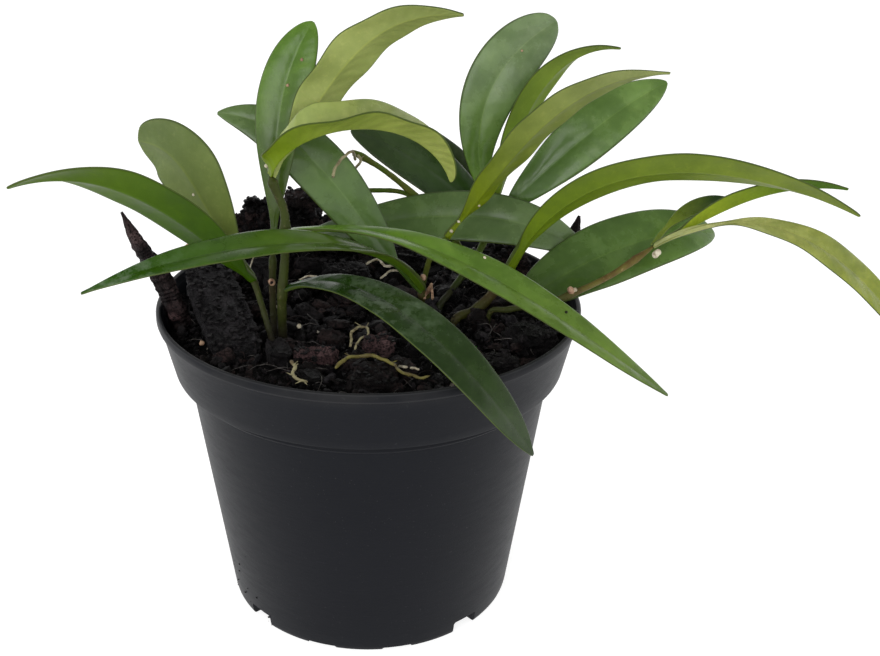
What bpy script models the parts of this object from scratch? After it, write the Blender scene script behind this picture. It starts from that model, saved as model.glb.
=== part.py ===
"""Hoya kentiana in a 12 cm nursery pot: a turned thin-walled pot with a stepped rim and drainage notches,
a coarse bark substrate, loose bark pieces, aerial roots, branching stems and narrow arching leaves.

Sizes are in millimetres until mesh_object turns them into metres. The origin is the centre of the pot's
underside, +Z is up, and the plant's long shoots reach towards +X.
"""

import math
import random
from collections import namedtuple

import bmesh
import bpy
import numpy as np
from mathutils import Euler, Matrix, Vector

MM = 0.001
CLEAR = 0.45  # distance from a solid's corners to the pocket cut round it
SEAT_GAP = 0.35  # distance left where a stalk meets the stem that carries it

# Pot
POT_HEIGHT = 92.0
LIP_RADIUS = 60.0
BASE_RADIUS = 42.0
BODY_TOP_RADIUS = 52.2
BAND_BOTTOM = 74.0  # underside of the wide rim band
BAND_BOTTOM_RADIUS = 55.4
RIDGE_HEIGHT = 71.5  # thin moulded ridge under the band
WALL = 1.2
FLOOR = 1.6
LIP_WIDTH = 1.4
POT_SEGMENTS = 44
NOTCHES = 12
NOTCH_PHASE = 40.0  # degrees clockwise from -Y, of a deep notch
DEEP_EVERY = 3
NOTCH_WIDTH = 8.5
DEEP_NOTCH = 4.0
SHALLOW_NOTCH = 0.9

# Substrate
SOIL_EDGE = 87.0
SOIL_RINGS = 8
SOIL_SECTORS = 36
HEAP_CENTRE = (-35.0, 37.0)
HEAP_HEIGHT = 9.0
HEAP_SPREAD = 19.0
CHUNKS = 34

# Leaves and stems
LEAF_THICK = 1.5  # at the midrib
MARGIN_THICK = 0.7
TIP_HALF_WIDTH = 0.35
LEAF_RINGS = 12
ACROSS = (-1.0, -0.5, 0.0, 0.5, 1.0)  # stations from margin to margin
STEM_SIDES = 8

# on is the stem that carries the leaf. Its midrib runs through four points at equal steps, and the first is
# moved to its seat on that stem. faces are the directions that its upper side faces, at equal steps from the
# base to the tip, fold is how far each half is raised, in degrees, widest is the share of the blade's
# length where it is widest, taper shapes the tip, and petiole is the share of the length that is stalk.
# waves counts the margin's waves and wave is their height. stalk is the stalk's radius.
Leaf = namedtuple(
    "Leaf", "on midrib width faces fold widest taper petiole waves wave stalk", defaults=(0, 0.0, 0.9))

LEAVES = {
    "leaf_far_left": Leaf(
        "stem_far_left",
        ((-31.8, -20.6, 105.5), (-49.5, -24, 125.5), (-68.5, -28, 136.5), (-89, -32, 135)),
        12.5, ((0.1, 0.9, 0.35), (0, 0.8, 0.6), (0, 0.4, 1)), 8, 0.38, 0.85, 0.04, stalk=1.1),
    "leaf_left_paddle": Leaf(
        "stem_far_left",
        ((-31.5, -17.9, 107.2), (-43, -11, 123.5), (-51, -7, 135.5), (-61.5, -4, 140)),
        18, ((0.3, 1, 0.1), (0.3, 1, 0.3)), 6, 0.6, 0.42, 0.08),
    "leaf_left_tall": Leaf(
        "stem_left_back",
        ((-25.6, -16.8, 113), (-24.5, -14, 133), (-22, -8, 152), (-14.5, 0, 170)),
        13.5, ((-0.1, -1, 0.2), (-0.3, -1, 0.2)), 6, 0.68, 0.6, 0.06),
    "leaf_left_arch": Leaf(
        "stem_left",
        ((-24.3, -18.4, 136.3), (-11, -17, 157.5), (3, -23, 172.5), (22.5, -31, 177)),
        14, ((-0.5, 1, 0.2), (-0.2, 0.9, 0.6)), 6, 0.43, 0.9, 0.05, 4, 0.5),
    "leaf_long_left": Leaf(
        "stem_centre",
        ((14, 0.2, 95.4), (-6.5, -23, 116.2), (-39, -39, 119.8), (-70, -47, 113)),
        11, ((0.05, 0.3, 1), (0, -0.3, 1), (0, -0.4, 1)), 14, 0.52, 0.9, 0.06, stalk=1.4),
    "leaf_long_right": Leaf(
        "stem_left",
        ((-20.8, -20.8, 119.6), (14, -23.4, 116.2), (47.5, -34, 102), (77.5, -42, 81.5)),
        12.5, ((0.25, 0.1, 1), (0.3, -0.4, 1), (0.3, -0.4, 1)), 12, 0.52, 0.9, 0.05),
    "leaf_young_curl": Leaf(
        "stem_left",
        ((-24.7, -21.2, 135.6), (-13.5, -26.5, 148), (7, -16, 145), (22, -6, 128)),
        15.5, ((0, -0.05, 1), (0.2, -0.1, 1)), 46, 0.55, 0.5, 0.04, 4, 0.6),
    "leaf_dark_left": Leaf(
        "stem_centre",
        ((12.4, 5.2, 90.4), (-2, -4, 116.5), (-18.5, -3, 136.5), (-40.5, 0, 145.5)),
        15.5, ((0.1, -0.9, 0.6), (0.1, -0.9, 0.6)), 6, 0.5, 0.7, 0.14),
    "leaf_centre_dark": Leaf(
        "stem_back",
        ((33.2, 25.2, 105.6), (24.5, 26, 115.5), (9, 28, 126), (-6.5, 32, 131.5)),
        17, ((0.2, -0.7, 0.8), (0.2, -0.7, 0.8)), 6, 0.5, 0.7, 0.06),
    "leaf_centre_back": Leaf(
        "stem_back",
        ((36, 25.5, 101), (28, 35, 113), (18, 38, 122), (8, 40, 132)),
        14, ((0.2, -0.7, 0.8), (0.2, -0.7, 0.8)), 6, 0.5, 0.7, 0.06),
    "leaf_middle": Leaf(
        "stem_left",
        ((-21.6, -18, 118), (5, 10, 111), (34, 13, 111), (63, 13, 100.5)),
        16, ((0.1, -0.9, 0.7), (0.1, -0.9, 0.8)), 7, 0.62, 0.6, 0.02),
    "leaf_back_tall": Leaf(
        "stem_back",
        ((34.2, 21.2, 108.6), (32, 24, 131), (38, 28, 150), (54, 36, 163.5)),
        16, ((0.1, -1, 0.35), (0, -1, 0.35)), 5, 0.66, 0.48, 0.08),
    "leaf_back_narrow": Leaf(
        "stem_back",
        ((37.4, 24, 107.2), (41, 20, 134), (52.5, 20, 152.5), (70.5, 20, 158)),
        8.5, ((-0.6, 0.9, 0.1), (-0.5, 0.9, 0.3), (-0.1, 0.3, 1)), 10, 0.5, 0.8, 0.08),
    "leaf_back_lean": Leaf(
        "shoot_centre",
        ((22, -1.5, 112), (38.5, 0, 132), (57, 1, 148.5), (81.5, 4, 155)),
        12, ((-0.6, 0.9, 0.1), (-0.4, 0.9, 0.3)), 10, 0.4, 1.2, 0.06, stalk=0.85),
    "leaf_back_broad": Leaf(
        "stem_back",
        ((38.2, 20.4, 106.4), (52.5, 22, 122.5), (69.5, 26, 136), (88.5, 34, 145.5)),
        16.5, ((-0.4, -1, 0.6), (-0.2, -1, 0.6)), 5, 0.56, 0.55, 0.07),
    "leaf_right_arch": Leaf(
        "stem_right",
        ((40, -2, 102), (64.5, -6, 128.5), (99.5, -10, 131.5), (132, -14, 121)),
        12, ((-0.35, 0.85, 0.3), (0, 0.62, 0.78), (0.2, 0.1, 1)), 8, 0.35, 0.8, 0.06, stalk=1.6),
    "leaf_right_broad": Leaf(
        "branch_right",
        ((41, -6.5, 94.5), (56, 1, 98.5), (80, 10, 105), (104, 20, 103)),
        20.5, ((-0.1, -0.7, 0.9), (-0.1, -0.8, 0.8)), 6, 0.52, 0.55, 0.05),
    "leaf_shoot_long": Leaf(
        "branch_right",
        ((81.2, 3.6, 109), (98, 4.6, 115.6), (116, 6, 122), (137, 7.5, 121.8)),
        9, ((-0.2, 0.8, 0.5), (-0.1, 0.6, 0.8)), 20, 0.45, 0.9, 0.14),
    "leaf_shoot_bud": Leaf(
        "branch_right",
        ((78.4, 4.8, 105.8), (88, 10, 111.2), (95.5, 12, 115), (104, 13, 117.3)),
        5.5, ((-0.2, -0.6, 1), (-0.2, -0.6, 1)), 14, 0.55, 0.8, 0.2),
    "leaf_shoot_droop": Leaf(
        "branch_right",
        ((83.4, -0.2, 106.6), (107, 0.5, 115.4), (133.5, -1, 104), (160, -4, 76)),
        10.5, ((0.2, -0.8, 0.8), (0.5, -0.8, 0.8)), 10, 0.66, 0.7, 0.2, 4, 0.6),
    "leaf_over_rim": Leaf(
        "stem_left",
        ((-22, -24, 104.5), (2, -40, 109), (24, -58, 97), (40, -64, 77)),
        13, ((0.4, -0.6, 1), (0.5, -0.9, 0.8)), 8, 0.5, 0.8, 0.05),
}

# A stem's route and its radius at each end. A stem that another one carries starts at its seat on it.
Stem = namedtuple("Stem", "route start end woody on", defaults=(None,))

STEMS = {
    "stem_left": Stem(
        ((-23.6, -21.5, 79), (-23.6, -21.8, 88), (-23.4, -23, 101), (-22.4, -22, 112), (-22, -21.5, 120.5),
         (-22.3, -21, 126), (-24.2, -20.5, 131), (-25.4, -20, 134.6)), 1.25, 1.1, True),
    "stem_left_back": Stem(
        ((-26.1, -19, 79), (-26.1, -19, 90), (-26.2, -18, 102), (-25.8, -17, 112.2)), 0.9, 0.9, False),
    "stem_far_left": Stem(
        ((-25.6, -25.4, 79), (-25.8, -25.6, 88), (-27.4, -25, 95.5), (-29.5, -21.5, 101.5),
         (-31.1, -19, 106)), 0.8, 0.8, False),
    "stem_centre": Stem(((18, 3, 79), (17, 3, 87), (14.8, 3, 93)), 1.5, 1.4, True),
    "shoot_centre": Stem(
        ((15.4, 4, 94.4), (17.2, 1, 104), (21.3, -1.4, 110.5)), 0.8, 0.8, False, "stem_centre"),
    "stem_back": Stem(
        ((19.5, 0.8, 79), (19.8, 1.2, 88), (23, 6, 90.5), (27.2, 11, 94.2), (32.2, 17, 99), (36.3, 22, 106.6)),
        1.0, 1.0, False),
    "stem_right": Stem(
        ((23.2, -7.5, 79), (24, -7.3, 88), (29, -4.5, 89.4), (33.7, -3.5, 93.2), (39.2, -2, 101)),
        1.2, 1.5, True),
    "branch_right": Stem(
        ((33, -6.7, 80), (33.8, -6.9, 90), (38.3, -9.3, 92), (43, -9.5, 92.9), (49.6, -10, 94.5),
         (56, -9.5, 96.7), (68.3, -4, 100.4), (80.5, 1.4, 106.6)), 0.8, 1.1, True),
    "vine_tip": Stem(
        ((27.4, 13.6, 99.2), (22, 18, 107), (13, 19, 116), (4, 18, 124), (-5, 17, 130)), 0.9, 0.8, False,
        "stem_back"),
    "shoot_small": Stem(
        ((14.5, 21.2, 113.6), (9, 22, 116), (1, 21, 116.8), (-5, 19.5, 117)), 0.7, 0.7, False,
        "vine_tip"),
}

# Thin roots on the substrate, with their radius.
ROOTS = {
    "root_front": (((-10, -37, 88.5), (-5.5, -34.4, 90.5), (4, -34.8, 90.5), (10.5, -40, 90), (15.5, -44, 89)),
                   0.8),
    "root_left": (((-22, -34, 88.5), (-20, -38, 89.5), (-22, -43, 89), (-17, -46, 88.5)), 0.7),
    "root_middle": (((-7, -27, 89), (-8, -21, 90.5), (-4, -17, 90), (0, -19, 89)), 0.7),
    "root_aerial": (((-3.4, 15.2, 129.8), (-3, 13, 127), (-9, 11, 122), (-10.5, 10, 119)), 0.6),
}

# A loose bark piece's centre, half sizes, turn about X, Y and Z in degrees, and the seed of its dents.
Bark = namedtuple("Bark", "centre half turn seed")

BARK = {
    "bark_slab": Bark((-41, -10, 92.4), (8, 23, 2.4), (14, 6, 20), 3),
    "bark_back": Bark((-27, 41, 97), (8.5, 6, 9), (0, 5, -12), 4),
    "bark_back_top": Bark((-20, 42, 107), (6.8, 5, 2.2), (3, 4, 8), 5),
    "bark_back_left": Bark((-40, 34.5, 94.6), (4.4, 4.2, 5), (0, -8, 20), 14),
    "bark_chip_round": Bark((2, -27, 89.5), (4.6, 3.6, 3), (0, 0, 10), 6),
    "bark_chip_front": Bark((1, -44.5, 88.5), (6.4, 6, 3), (8, 0, 0), 7),
    "bark_red": Bark((-14.5, -31, 88.5), (6.5, 2.6, 2.4), (0, -6, -12), 8),
    "bark_right": Bark((44, -22, 88.5), (7, 5.6, 4), (0, 12, 30), 9),
    "bark_right_front": Bark((33, -37, 88), (6.5, 4, 3), (6, 0, 22), 10),
    "bark_middle": Bark((-7, 20, 90), (8, 5, 4), (0, 8, 15), 11),
    "bark_middle_right": Bark((9, 33, 90.5), (9, 5, 4), (6, 0, -14), 12),
    "bark_back_right": Bark((35, 29, 90), (8, 5, 4.5), (0, -10, -35), 13),
}

STAKE_ROUTE = ((-52.5, -5.5, 86), (-56.3, -5, 96), (-61.1, -6, 105.3), (-64, -7, 113), (-66.1, -8, 120.5))
STAKE_RADII = (2.7, 2.6, 2.2, 1.5, 0.35)
SPIKE_ROUTE = ((49.5, 14, 86), (53, 15.5, 94), (59, 17.5, 103), (61, 18, 110))
SPIKE_RADII = (2.5, 2.4, 2.2, 0.4)


def clear_scene():
    for obj in list(bpy.data.objects):
        bpy.data.objects.remove(obj, do_unlink=True)


def material(name, colour, roughness):
    made = bpy.data.materials.new(name)
    made.use_nodes = True
    shader = made.node_tree.nodes["Principled BSDF"]
    shader.inputs["Base Color"].default_value = (*colour, 1.0)
    shader.inputs["Roughness"].default_value = roughness
    shader.inputs["Metallic"].default_value = 0.0
    return made


def mesh_object(name, points, faces, finish, origin=(0.0, 0.0, 0.0)):
    """A closed mesh from points in millimetres, with its object's origin at the given point."""
    mesh = bpy.data.meshes.new(name)
    start = Vector(origin)
    mesh.from_pydata([(Vector(p) - start) * MM for p in points], [], faces)
    obj = bpy.data.objects.new(name, mesh)
    obj.location = start * MM
    bpy.context.scene.collection.objects.link(obj)
    mesh.materials.append(finish)
    shape = bmesh.new()
    shape.from_mesh(mesh)
    bmesh.ops.recalc_face_normals(shape, faces=shape.faces)
    shape.to_mesh(mesh)
    shape.free()
    mesh.shade_smooth()
    mesh.set_sharp_from_angle(angle=math.radians(40))
    return obj


def through(points, share):
    """The point at this share of a cubic that passes four points at equal steps."""
    steps = (0.0, 1 / 3, 2 / 3, 1.0)
    found = Vector((0.0, 0.0, 0.0))
    for i, point in enumerate(points):
        weight = 1.0
        for j, other in enumerate(steps):
            if i != j:
                weight *= (share - other) / (steps[i] - other)
        found += weight * Vector(point)
    return found


def smooth_route(points, count):
    """Evenly numbered points on a Catmull-Rom curve through the given ones."""
    known = [Vector(p) for p in points]
    ends = [2 * known[0] - known[1], *known, 2 * known[-1] - known[-2]]
    spans = len(known) - 1
    found = []
    for i in range(count):
        place = i / (count - 1) * spans
        span = min(int(place), spans - 1)
        t = place - span
        a, b, c, d = ends[span : span + 4]
        found.append(
            0.5 * (2 * b + (c - a) * t + (2 * a - 5 * b + 4 * c - d) * t**2 + (3 * b - a - 3 * c + d) * t**3)
        )
    return found


def tangents(route):
    found = []
    for i in range(len(route)):
        step = route[min(i + 1, len(route) - 1)] - route[max(i - 1, 0)]
        found.append(step.normalized())
    return found


def stem_route(name):
    """A stem's smoothed route and its radius at each point."""
    stem = STEMS[name]
    count = 3 * len(stem.route) - 2
    radii = np.linspace(stem.start, stem.end, count).tolist()
    if stem.on is None:
        return smooth_route(stem.route, count), radii
    start = seat(stem.on, stem.route[0], stem.route[1], stem.start)
    return smooth_route((start, *stem.route[1:]), count), radii


def seat(carrier, start, ahead, radius):
    """Where a stalk that heads for a point starts, so that it just clears the stem that carries it."""
    route, radii = stem_route(carrier)
    fine = smooth_route(route, 12 * len(route))
    start = Vector(start)
    near = min(range(len(fine)), key=lambda i: (fine[i] - start).length)
    outward = (start - fine[near]).normalized()
    along = tangents(fine)[near]
    heading = (Vector(ahead) - start).normalized()
    stem_radius = radii[min(near // 12, len(radii) - 1)]
    reach = stem_radius * math.sqrt(max(0.0, 1 - along.dot(outward) ** 2))
    reach += radius * math.sqrt(max(0.0, 1 - heading.dot(outward) ** 2))
    return fine[near] + outward * (reach + SEAT_GAP)


def tube(name, route, radii, sides, finish):
    """A closed tube round a route, with one radius at each of its points."""
    points = []
    side = Vector((0.31, 0.95, 0.05))
    for centre, along, radius in zip(route, tangents(route), radii, strict=True):
        side = (side - side.dot(along) * along).normalized()
        other = along.cross(side)
        for k in range(sides):
            turn = 2 * math.pi * k / sides
            points.append(centre + radius * (math.cos(turn) * side + math.sin(turn) * other))
    faces = []
    for ring in range(len(route) - 1):
        for k in range(sides):
            here = ring * sides + k
            beside = ring * sides + (k + 1) % sides
            faces.append((here, beside, beside + sides, here + sides))
    faces.append(tuple(range(sides)))
    faces.append(tuple(range(len(points) - sides, len(points))))
    return mesh_object(name, points, faces, finish, route[0])


def half_width(leaf, share):
    """Half the blade's width at this share of the leaf's length, never thinner than its stalk and tip."""
    blade = min(max((share - leaf.petiole) / (1 - leaf.petiole), 0.0), 1.0)
    rise = max(leaf.taper * leaf.widest / (1 - leaf.widest), 0.3)
    peak = leaf.widest**rise * (1 - leaf.widest) ** leaf.taper
    wide = leaf.width / 2 * blade**rise * (1 - blade) ** leaf.taper / peak
    return max(wide, leaf.stalk * (1 - share) + TIP_HALF_WIDTH * share)


def facing(leaf, share):
    """The way that the upper side faces, turning smoothly from one given direction to the next."""
    place = share * (len(leaf.faces) - 1)
    first = min(int(place), len(leaf.faces) - 2)
    ease = place - first
    ease = ease * ease * (3 - 2 * ease)
    return Vector(leaf.faces[first]).normalized().lerp(Vector(leaf.faces[first + 1]).normalized(), ease)


def leaf_ring(leaf, share, along):
    """Upper points from margin to margin, then lower points back, of one section across the leaf."""
    centre = through(leaf.midrib, share)
    towards = facing(leaf, share)
    up = (towards - towards.dot(along) * along).normalized()
    side = along.cross(up)
    half = half_width(leaf, share)
    fold = math.radians(leaf.fold)
    upper = []
    lower = []
    for place in ACROSS:
        reach = abs(place)
        ripple = leaf.wave * reach**2 * math.sin(2 * math.pi * leaf.waves * share + place) * (1 - share) * 1.5
        middle = centre + side * place * half * math.cos(fold) + up * (reach * half * math.sin(fold) + ripple)
        thick = MARGIN_THICK + (LEAF_THICK - MARGIN_THICK) * (1 - reach) * min(1.0, 4 * (1 - share) + 0.2)
        upper.append(middle + up * thick / 2)
        lower.append(middle - up * thick / 2)
    return upper + lower[::-1]


def leaf_object(name, leaf, finish):
    """A thin curved blade on its stalk. Both faces are split into triangles alike."""
    start = seat(leaf.on, leaf.midrib[0], through(leaf.midrib, 0.05), leaf.stalk)
    leaf = leaf._replace(midrib=(start, *leaf.midrib[1:]))
    shares = [i / (LEAF_RINGS - 1) for i in range(LEAF_RINGS)]
    route = [through(leaf.midrib, share) for share in shares]
    points = []
    for share, along in zip(shares, tangents(route), strict=True):
        points += leaf_ring(leaf, share, along)
    across = len(ACROSS)
    around = 2 * across
    faces = []
    for ring in range(LEAF_RINGS - 1):
        for k in range(around):
            a = ring * around + k
            b = ring * around + (k + 1) % around
            c = b + around
            d = a + around
            if k < across:
                faces += [(a, b, c), (a, c, d)]
            else:
                faces += [(a, b, d), (b, c, d)]
    last = (LEAF_RINGS - 1) * around
    for start, flip in ((0, 1), (last, -1)):
        for k in range(across - 1):
            cap = (start + k, start + k + 1, start + around - 2 - k, start + around - 1 - k)
            faces.append(cap[::flip])
    return mesh_object(name, points, faces, finish, leaf.midrib[0])


def pot_profile():
    """Radius and height pairs, up the outside, over the lip and down the inside."""
    slope = (BODY_TOP_RADIUS - BASE_RADIUS) / BAND_BOTTOM

    def body(height):
        return BASE_RADIUS + slope * height

    return [
        (BASE_RADIUS - 1.5, 0.0),
        (body(1.4), 1.4),
        (body(RIDGE_HEIGHT - 0.5), RIDGE_HEIGHT - 0.5),
        (body(RIDGE_HEIGHT) + 0.4, RIDGE_HEIGHT),
        (body(RIDGE_HEIGHT + 0.5), RIDGE_HEIGHT + 0.5),
        (body(BAND_BOTTOM - 0.3), BAND_BOTTOM - 0.3),
        (BAND_BOTTOM_RADIUS - 0.4, BAND_BOTTOM),
        (BAND_BOTTOM_RADIUS, BAND_BOTTOM + 0.5),
        (LIP_RADIUS - 0.8, POT_HEIGHT - 2.6),
        (LIP_RADIUS, POT_HEIGHT - 2.0),
        (LIP_RADIUS, POT_HEIGHT - 0.5),
        (LIP_RADIUS - 0.5, POT_HEIGHT),
        (LIP_RADIUS - LIP_WIDTH + 0.4, POT_HEIGHT),
        (LIP_RADIUS - LIP_WIDTH, POT_HEIGHT - 0.4),
        (LIP_RADIUS - 0.8 - WALL, POT_HEIGHT - 2.6),
        (BAND_BOTTOM_RADIUS - WALL - 0.2, BAND_BOTTOM + 0.7),
        (BODY_TOP_RADIUS - WALL, BAND_BOTTOM - 0.9),
        (body(FLOOR) - WALL, FLOOR),
    ]


def turned_object(name, profile, segments, finish):
    """A closed solid of revolution whose profile starts and ends on the axis."""
    shape = bmesh.new()
    verts = [shape.verts.new((r * MM, 0.0, z * MM)) for r, z in profile]
    edges = [shape.edges.new(pair) for pair in zip(verts, verts[1:])]
    bmesh.ops.spin(
        shape, geom=verts + edges, cent=(0, 0, 0), axis=(0, 0, 1), angle=2 * math.pi, steps=segments,
        use_merge=True)
    bmesh.ops.remove_doubles(shape, verts=shape.verts, dist=1e-6)
    bmesh.ops.holes_fill(shape, edges=[edge for edge in shape.edges if edge.is_boundary])
    bmesh.ops.recalc_face_normals(shape, faces=shape.faces)
    mesh = bpy.data.meshes.new(name)
    shape.to_mesh(mesh)
    shape.free()
    mesh.materials.append(finish)
    mesh.shade_smooth()
    mesh.set_sharp_from_angle(angle=math.radians(30))
    obj = bpy.data.objects.new(name, mesh)
    bpy.context.scene.collection.objects.link(obj)
    return obj


def helper_collection(name, objects):
    """Cutters or repeats that stay out of the render."""
    group = bpy.data.collections.new(name)
    bpy.context.scene.collection.children.link(group)
    for obj in objects:
        bpy.context.scene.collection.objects.unlink(obj)
        group.objects.link(obj)
        obj.hide_render = True
        obj.display_type = "WIRE"
    return group


def boolean(obj, operation, group):
    modifier = obj.modifiers.new(operation.lower(), "BOOLEAN")
    modifier.operation = operation
    modifier.operand_type = "COLLECTION"
    modifier.collection = group
    modifier.solver = "EXACT"


def apply_and_keep_largest(obj):
    """Applies the modifiers and drops any scrap that the cuts left loose."""
    evaluated = obj.evaluated_get(bpy.context.evaluated_depsgraph_get())
    result = bpy.data.meshes.new_from_object(evaluated)
    obj.modifiers.clear()
    obj.data = result
    shape = bmesh.new()
    shape.from_mesh(result)
    left = set(shape.verts)
    islands = []
    while left:
        island = set()
        edge_of = [left.pop()]
        while edge_of:
            vert = edge_of.pop()
            island.add(vert)
            for edge in vert.link_edges:
                other = edge.other_vert(vert)
                if other in left:
                    left.remove(other)
                    edge_of.append(other)
        islands.append(island)
    islands.sort(key=len)
    loose = [vert for island in islands[:-1] for vert in island]
    bmesh.ops.delete(shape, geom=loose, context="VERTS")
    bmesh.ops.dissolve_degenerate(shape, edges=shape.edges, dist=1e-6)
    shape.to_mesh(result)
    shape.free()


def notch_cutter(index, finish):
    """A box across the pot's foot. Deep ones open the corner of floor and wall for drainage."""
    deep = index % DEEP_EVERY == 0
    height = DEEP_NOTCH if deep else SHALLOW_NOTCH
    inner = BASE_RADIUS - (7.0 if deep else 4.5)
    outer = BASE_RADIUS + 3.0
    turn = math.radians(-90 + NOTCH_PHASE + index * 360 / NOTCHES)
    corners = []
    for z in (-2.0, height):
        for x, y in ((inner, -1), (outer, -1), (outer, 1), (inner, 1)):
            wide = y * NOTCH_WIDTH / 2
            corners.append(
                (x * math.cos(turn) - wide * math.sin(turn), x * math.sin(turn) + wide * math.cos(turn), z))
    faces = [(0, 3, 2, 1), (4, 5, 6, 7), (0, 1, 5, 4), (1, 2, 6, 5), (2, 3, 7, 6), (3, 0, 4, 7)]
    return mesh_object(f"notch_{index}", corners, faces, finish)


def make_pot():
    plastic = material("black_plastic", (0.028, 0.029, 0.033), 0.42)
    pot = turned_object("pot", pot_profile(), POT_SEGMENTS, plastic)
    cutters = [notch_cutter(index, plastic) for index in range(NOTCHES)]
    boolean(pot, "DIFFERENCE", helper_collection("notches", cutters))
    apply_and_keep_largest(pot)


def chunk(name, centre, half, turn, seed, finish, rings=1):
    """A blocky broken piece of bark: a low sphere pushed towards a box, with seeded dents."""
    shape = bmesh.new()
    bmesh.ops.create_icosphere(shape, subdivisions=rings, radius=1.0)
    draw = random.Random(seed)
    rotation = Euler([math.radians(angle) for angle in turn]).to_matrix()
    points = []
    for vert in shape.verts:
        boxy = Vector([math.copysign(abs(c) ** 0.55, c) for c in vert.co]) * draw.uniform(0.82, 1.0)
        points.append(rotation @ Vector([b * h for b, h in zip(boxy, half, strict=True)]) + Vector(centre))
    faces = [tuple(vert.index for vert in face.verts) for face in shape.faces]
    shape.free()
    return mesh_object(name, points, faces, finish, centre)


def soil_height(x, y):
    """Height of the substrate's surface: nearly level, with a heap at the back left."""
    reach = math.hypot(x, y)
    inside = max(0.0, 1 - (reach / 56.5) ** 6)
    near = math.hypot(x - HEAP_CENTRE[0], y - HEAP_CENTRE[1])
    heap = HEAP_HEIGHT * math.exp(-((near / HEAP_SPREAD) ** 2))
    rough = 0.9 * math.sin(0.42 * x + 1.3) * math.cos(0.37 * y) + 0.6 * math.sin(0.9 * x - 0.8 * y)
    return SOIL_EDGE + inside * (0.6 + heap + rough)


def make_substrate(finish):
    """The potting bark: a filled core with a relief top and many fused chunks."""
    gap = 0.4
    slope = (BODY_TOP_RADIUS - BASE_RADIUS) / BAND_BOTTOM
    band_slope = (LIP_RADIUS - 0.8 - BAND_BOTTOM_RADIUS) / (POT_HEIGHT - 2.6 - BAND_BOTTOM - 0.5)
    edge_radius = BAND_BOTTOM_RADIUS - WALL - 0.2 + band_slope * (SOIL_EDGE - BAND_BOTTOM - 0.7) - gap
    profile = [
        (BASE_RADIUS + slope * FLOOR - WALL - gap, FLOOR + gap),
        (BODY_TOP_RADIUS - WALL - gap, BAND_BOTTOM - 0.7),
        (BAND_BOTTOM_RADIUS - WALL - 0.2 - gap, BAND_BOTTOM + 1.0),
        (edge_radius, SOIL_EDGE),
    ]
    points = [(0.0, 0.0, FLOOR + gap)]
    radii = [(radius, height) for radius, height in profile]
    radii += [(edge_radius * (1 - i / SOIL_RINGS), None) for i in range(1, SOIL_RINGS)]
    for radius, height in radii:
        for k in range(SOIL_SECTORS):
            turn = 2 * math.pi * k / SOIL_SECTORS
            x = radius * math.cos(turn)
            y = radius * math.sin(turn)
            points.append((x, y, soil_height(x, y) if height is None else height))
    points.append((0.0, 0.0, soil_height(0.0, 0.0)))
    faces = []
    for k in range(SOIL_SECTORS):
        after = (k + 1) % SOIL_SECTORS
        faces.append((0, 1 + after, 1 + k))
        for row in range(len(radii) - 1):
            low = 1 + row * SOIL_SECTORS
            high = low + SOIL_SECTORS
            faces.append((low + k, low + after, high + after, high + k))
        top = 1 + (len(radii) - 1) * SOIL_SECTORS
        faces.append((top + k, top + after, len(points) - 1))
    return mesh_object("substrate", points, faces, finish)


def soil_chunks(finish):
    """Seeded bark chunks of mixed sizes, half sunk in the substrate and clear of the pot's wall."""
    draw = random.Random(21)
    made = []
    for index in range(CHUNKS):
        reach = 49 * math.sqrt((index + 0.5) / CHUNKS)
        turn = index * math.radians(137.5)
        x = reach * math.cos(turn)
        y = reach * math.sin(turn)
        half = (draw.uniform(3.2, 6.0), draw.uniform(2.4, 3.8), draw.uniform(1.8, 3.0))
        centre = (x, y, soil_height(x, y) + 0.2)
        tilt = (draw.uniform(-25, 25), draw.uniform(-25, 25), draw.uniform(0, 180))
        made.append(chunk(f"chunk_{index}", centre, half, tilt, 100 + index, finish))
    return made


def pocket_for(obj, finish):
    """A copy of the solid grown by the clearance, which cuts its seat in the substrate."""
    shape = bmesh.new()
    shape.from_mesh(obj.data)
    shape.normal_update()
    grown = [(obj.location + vert.co) / MM + vert.normal * CLEAR for vert in shape.verts]
    faces = [tuple(vert.index for vert in face.verts) for face in shape.faces]
    shape.free()
    return mesh_object(f"pocket_{obj.name}", grown, faces, finish)


def make_bark():
    brown = material("bark", (0.035, 0.026, 0.022), 0.75)
    red = material("bark_reddish", (0.085, 0.04, 0.028), 0.7)
    made = []
    for name, bark in BARK.items():
        finish = red if name in ("bark_red", "bark_chip_round") else brown
        made.append(chunk(name, *bark, finish, rings=2))
    made.append(tube("bark_stake", [Vector(p) for p in STAKE_ROUTE], STAKE_RADII, 6, brown))
    made.append(tube("bark_spike", [Vector(p) for p in SPIKE_ROUTE], SPIKE_RADII, 6, brown))
    return made


def make_roots():
    pale = material("root", (0.32, 0.29, 0.12), 0.6)
    made = []
    for name, (route, radius) in ROOTS.items():
        smooth = smooth_route(route, 9)
        made.append(tube(name, smooth, [radius * (1 - 0.04 * i) for i in range(9)], 6, pale))
    return made


def make_stems():
    green = material("stem_green", (0.09, 0.13, 0.03), 0.45)
    woody = material("stem_woody", (0.13, 0.11, 0.045), 0.55)
    made = []
    for name, stem in STEMS.items():
        route, radii = stem_route(name)
        made.append(tube(name, route, radii, STEM_SIDES, woody if stem.woody else green))
    return made


def make_leaves():
    for name, leaf in LEAVES.items():
        pale = name.startswith(("leaf_shoot", "leaf_young", "leaf_left_arch"))
        colour = (0.19, 0.25, 0.06) if pale else (0.055, 0.13, 0.03)
        leaf_object(name, leaf, material(name, colour, 0.35))


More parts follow.
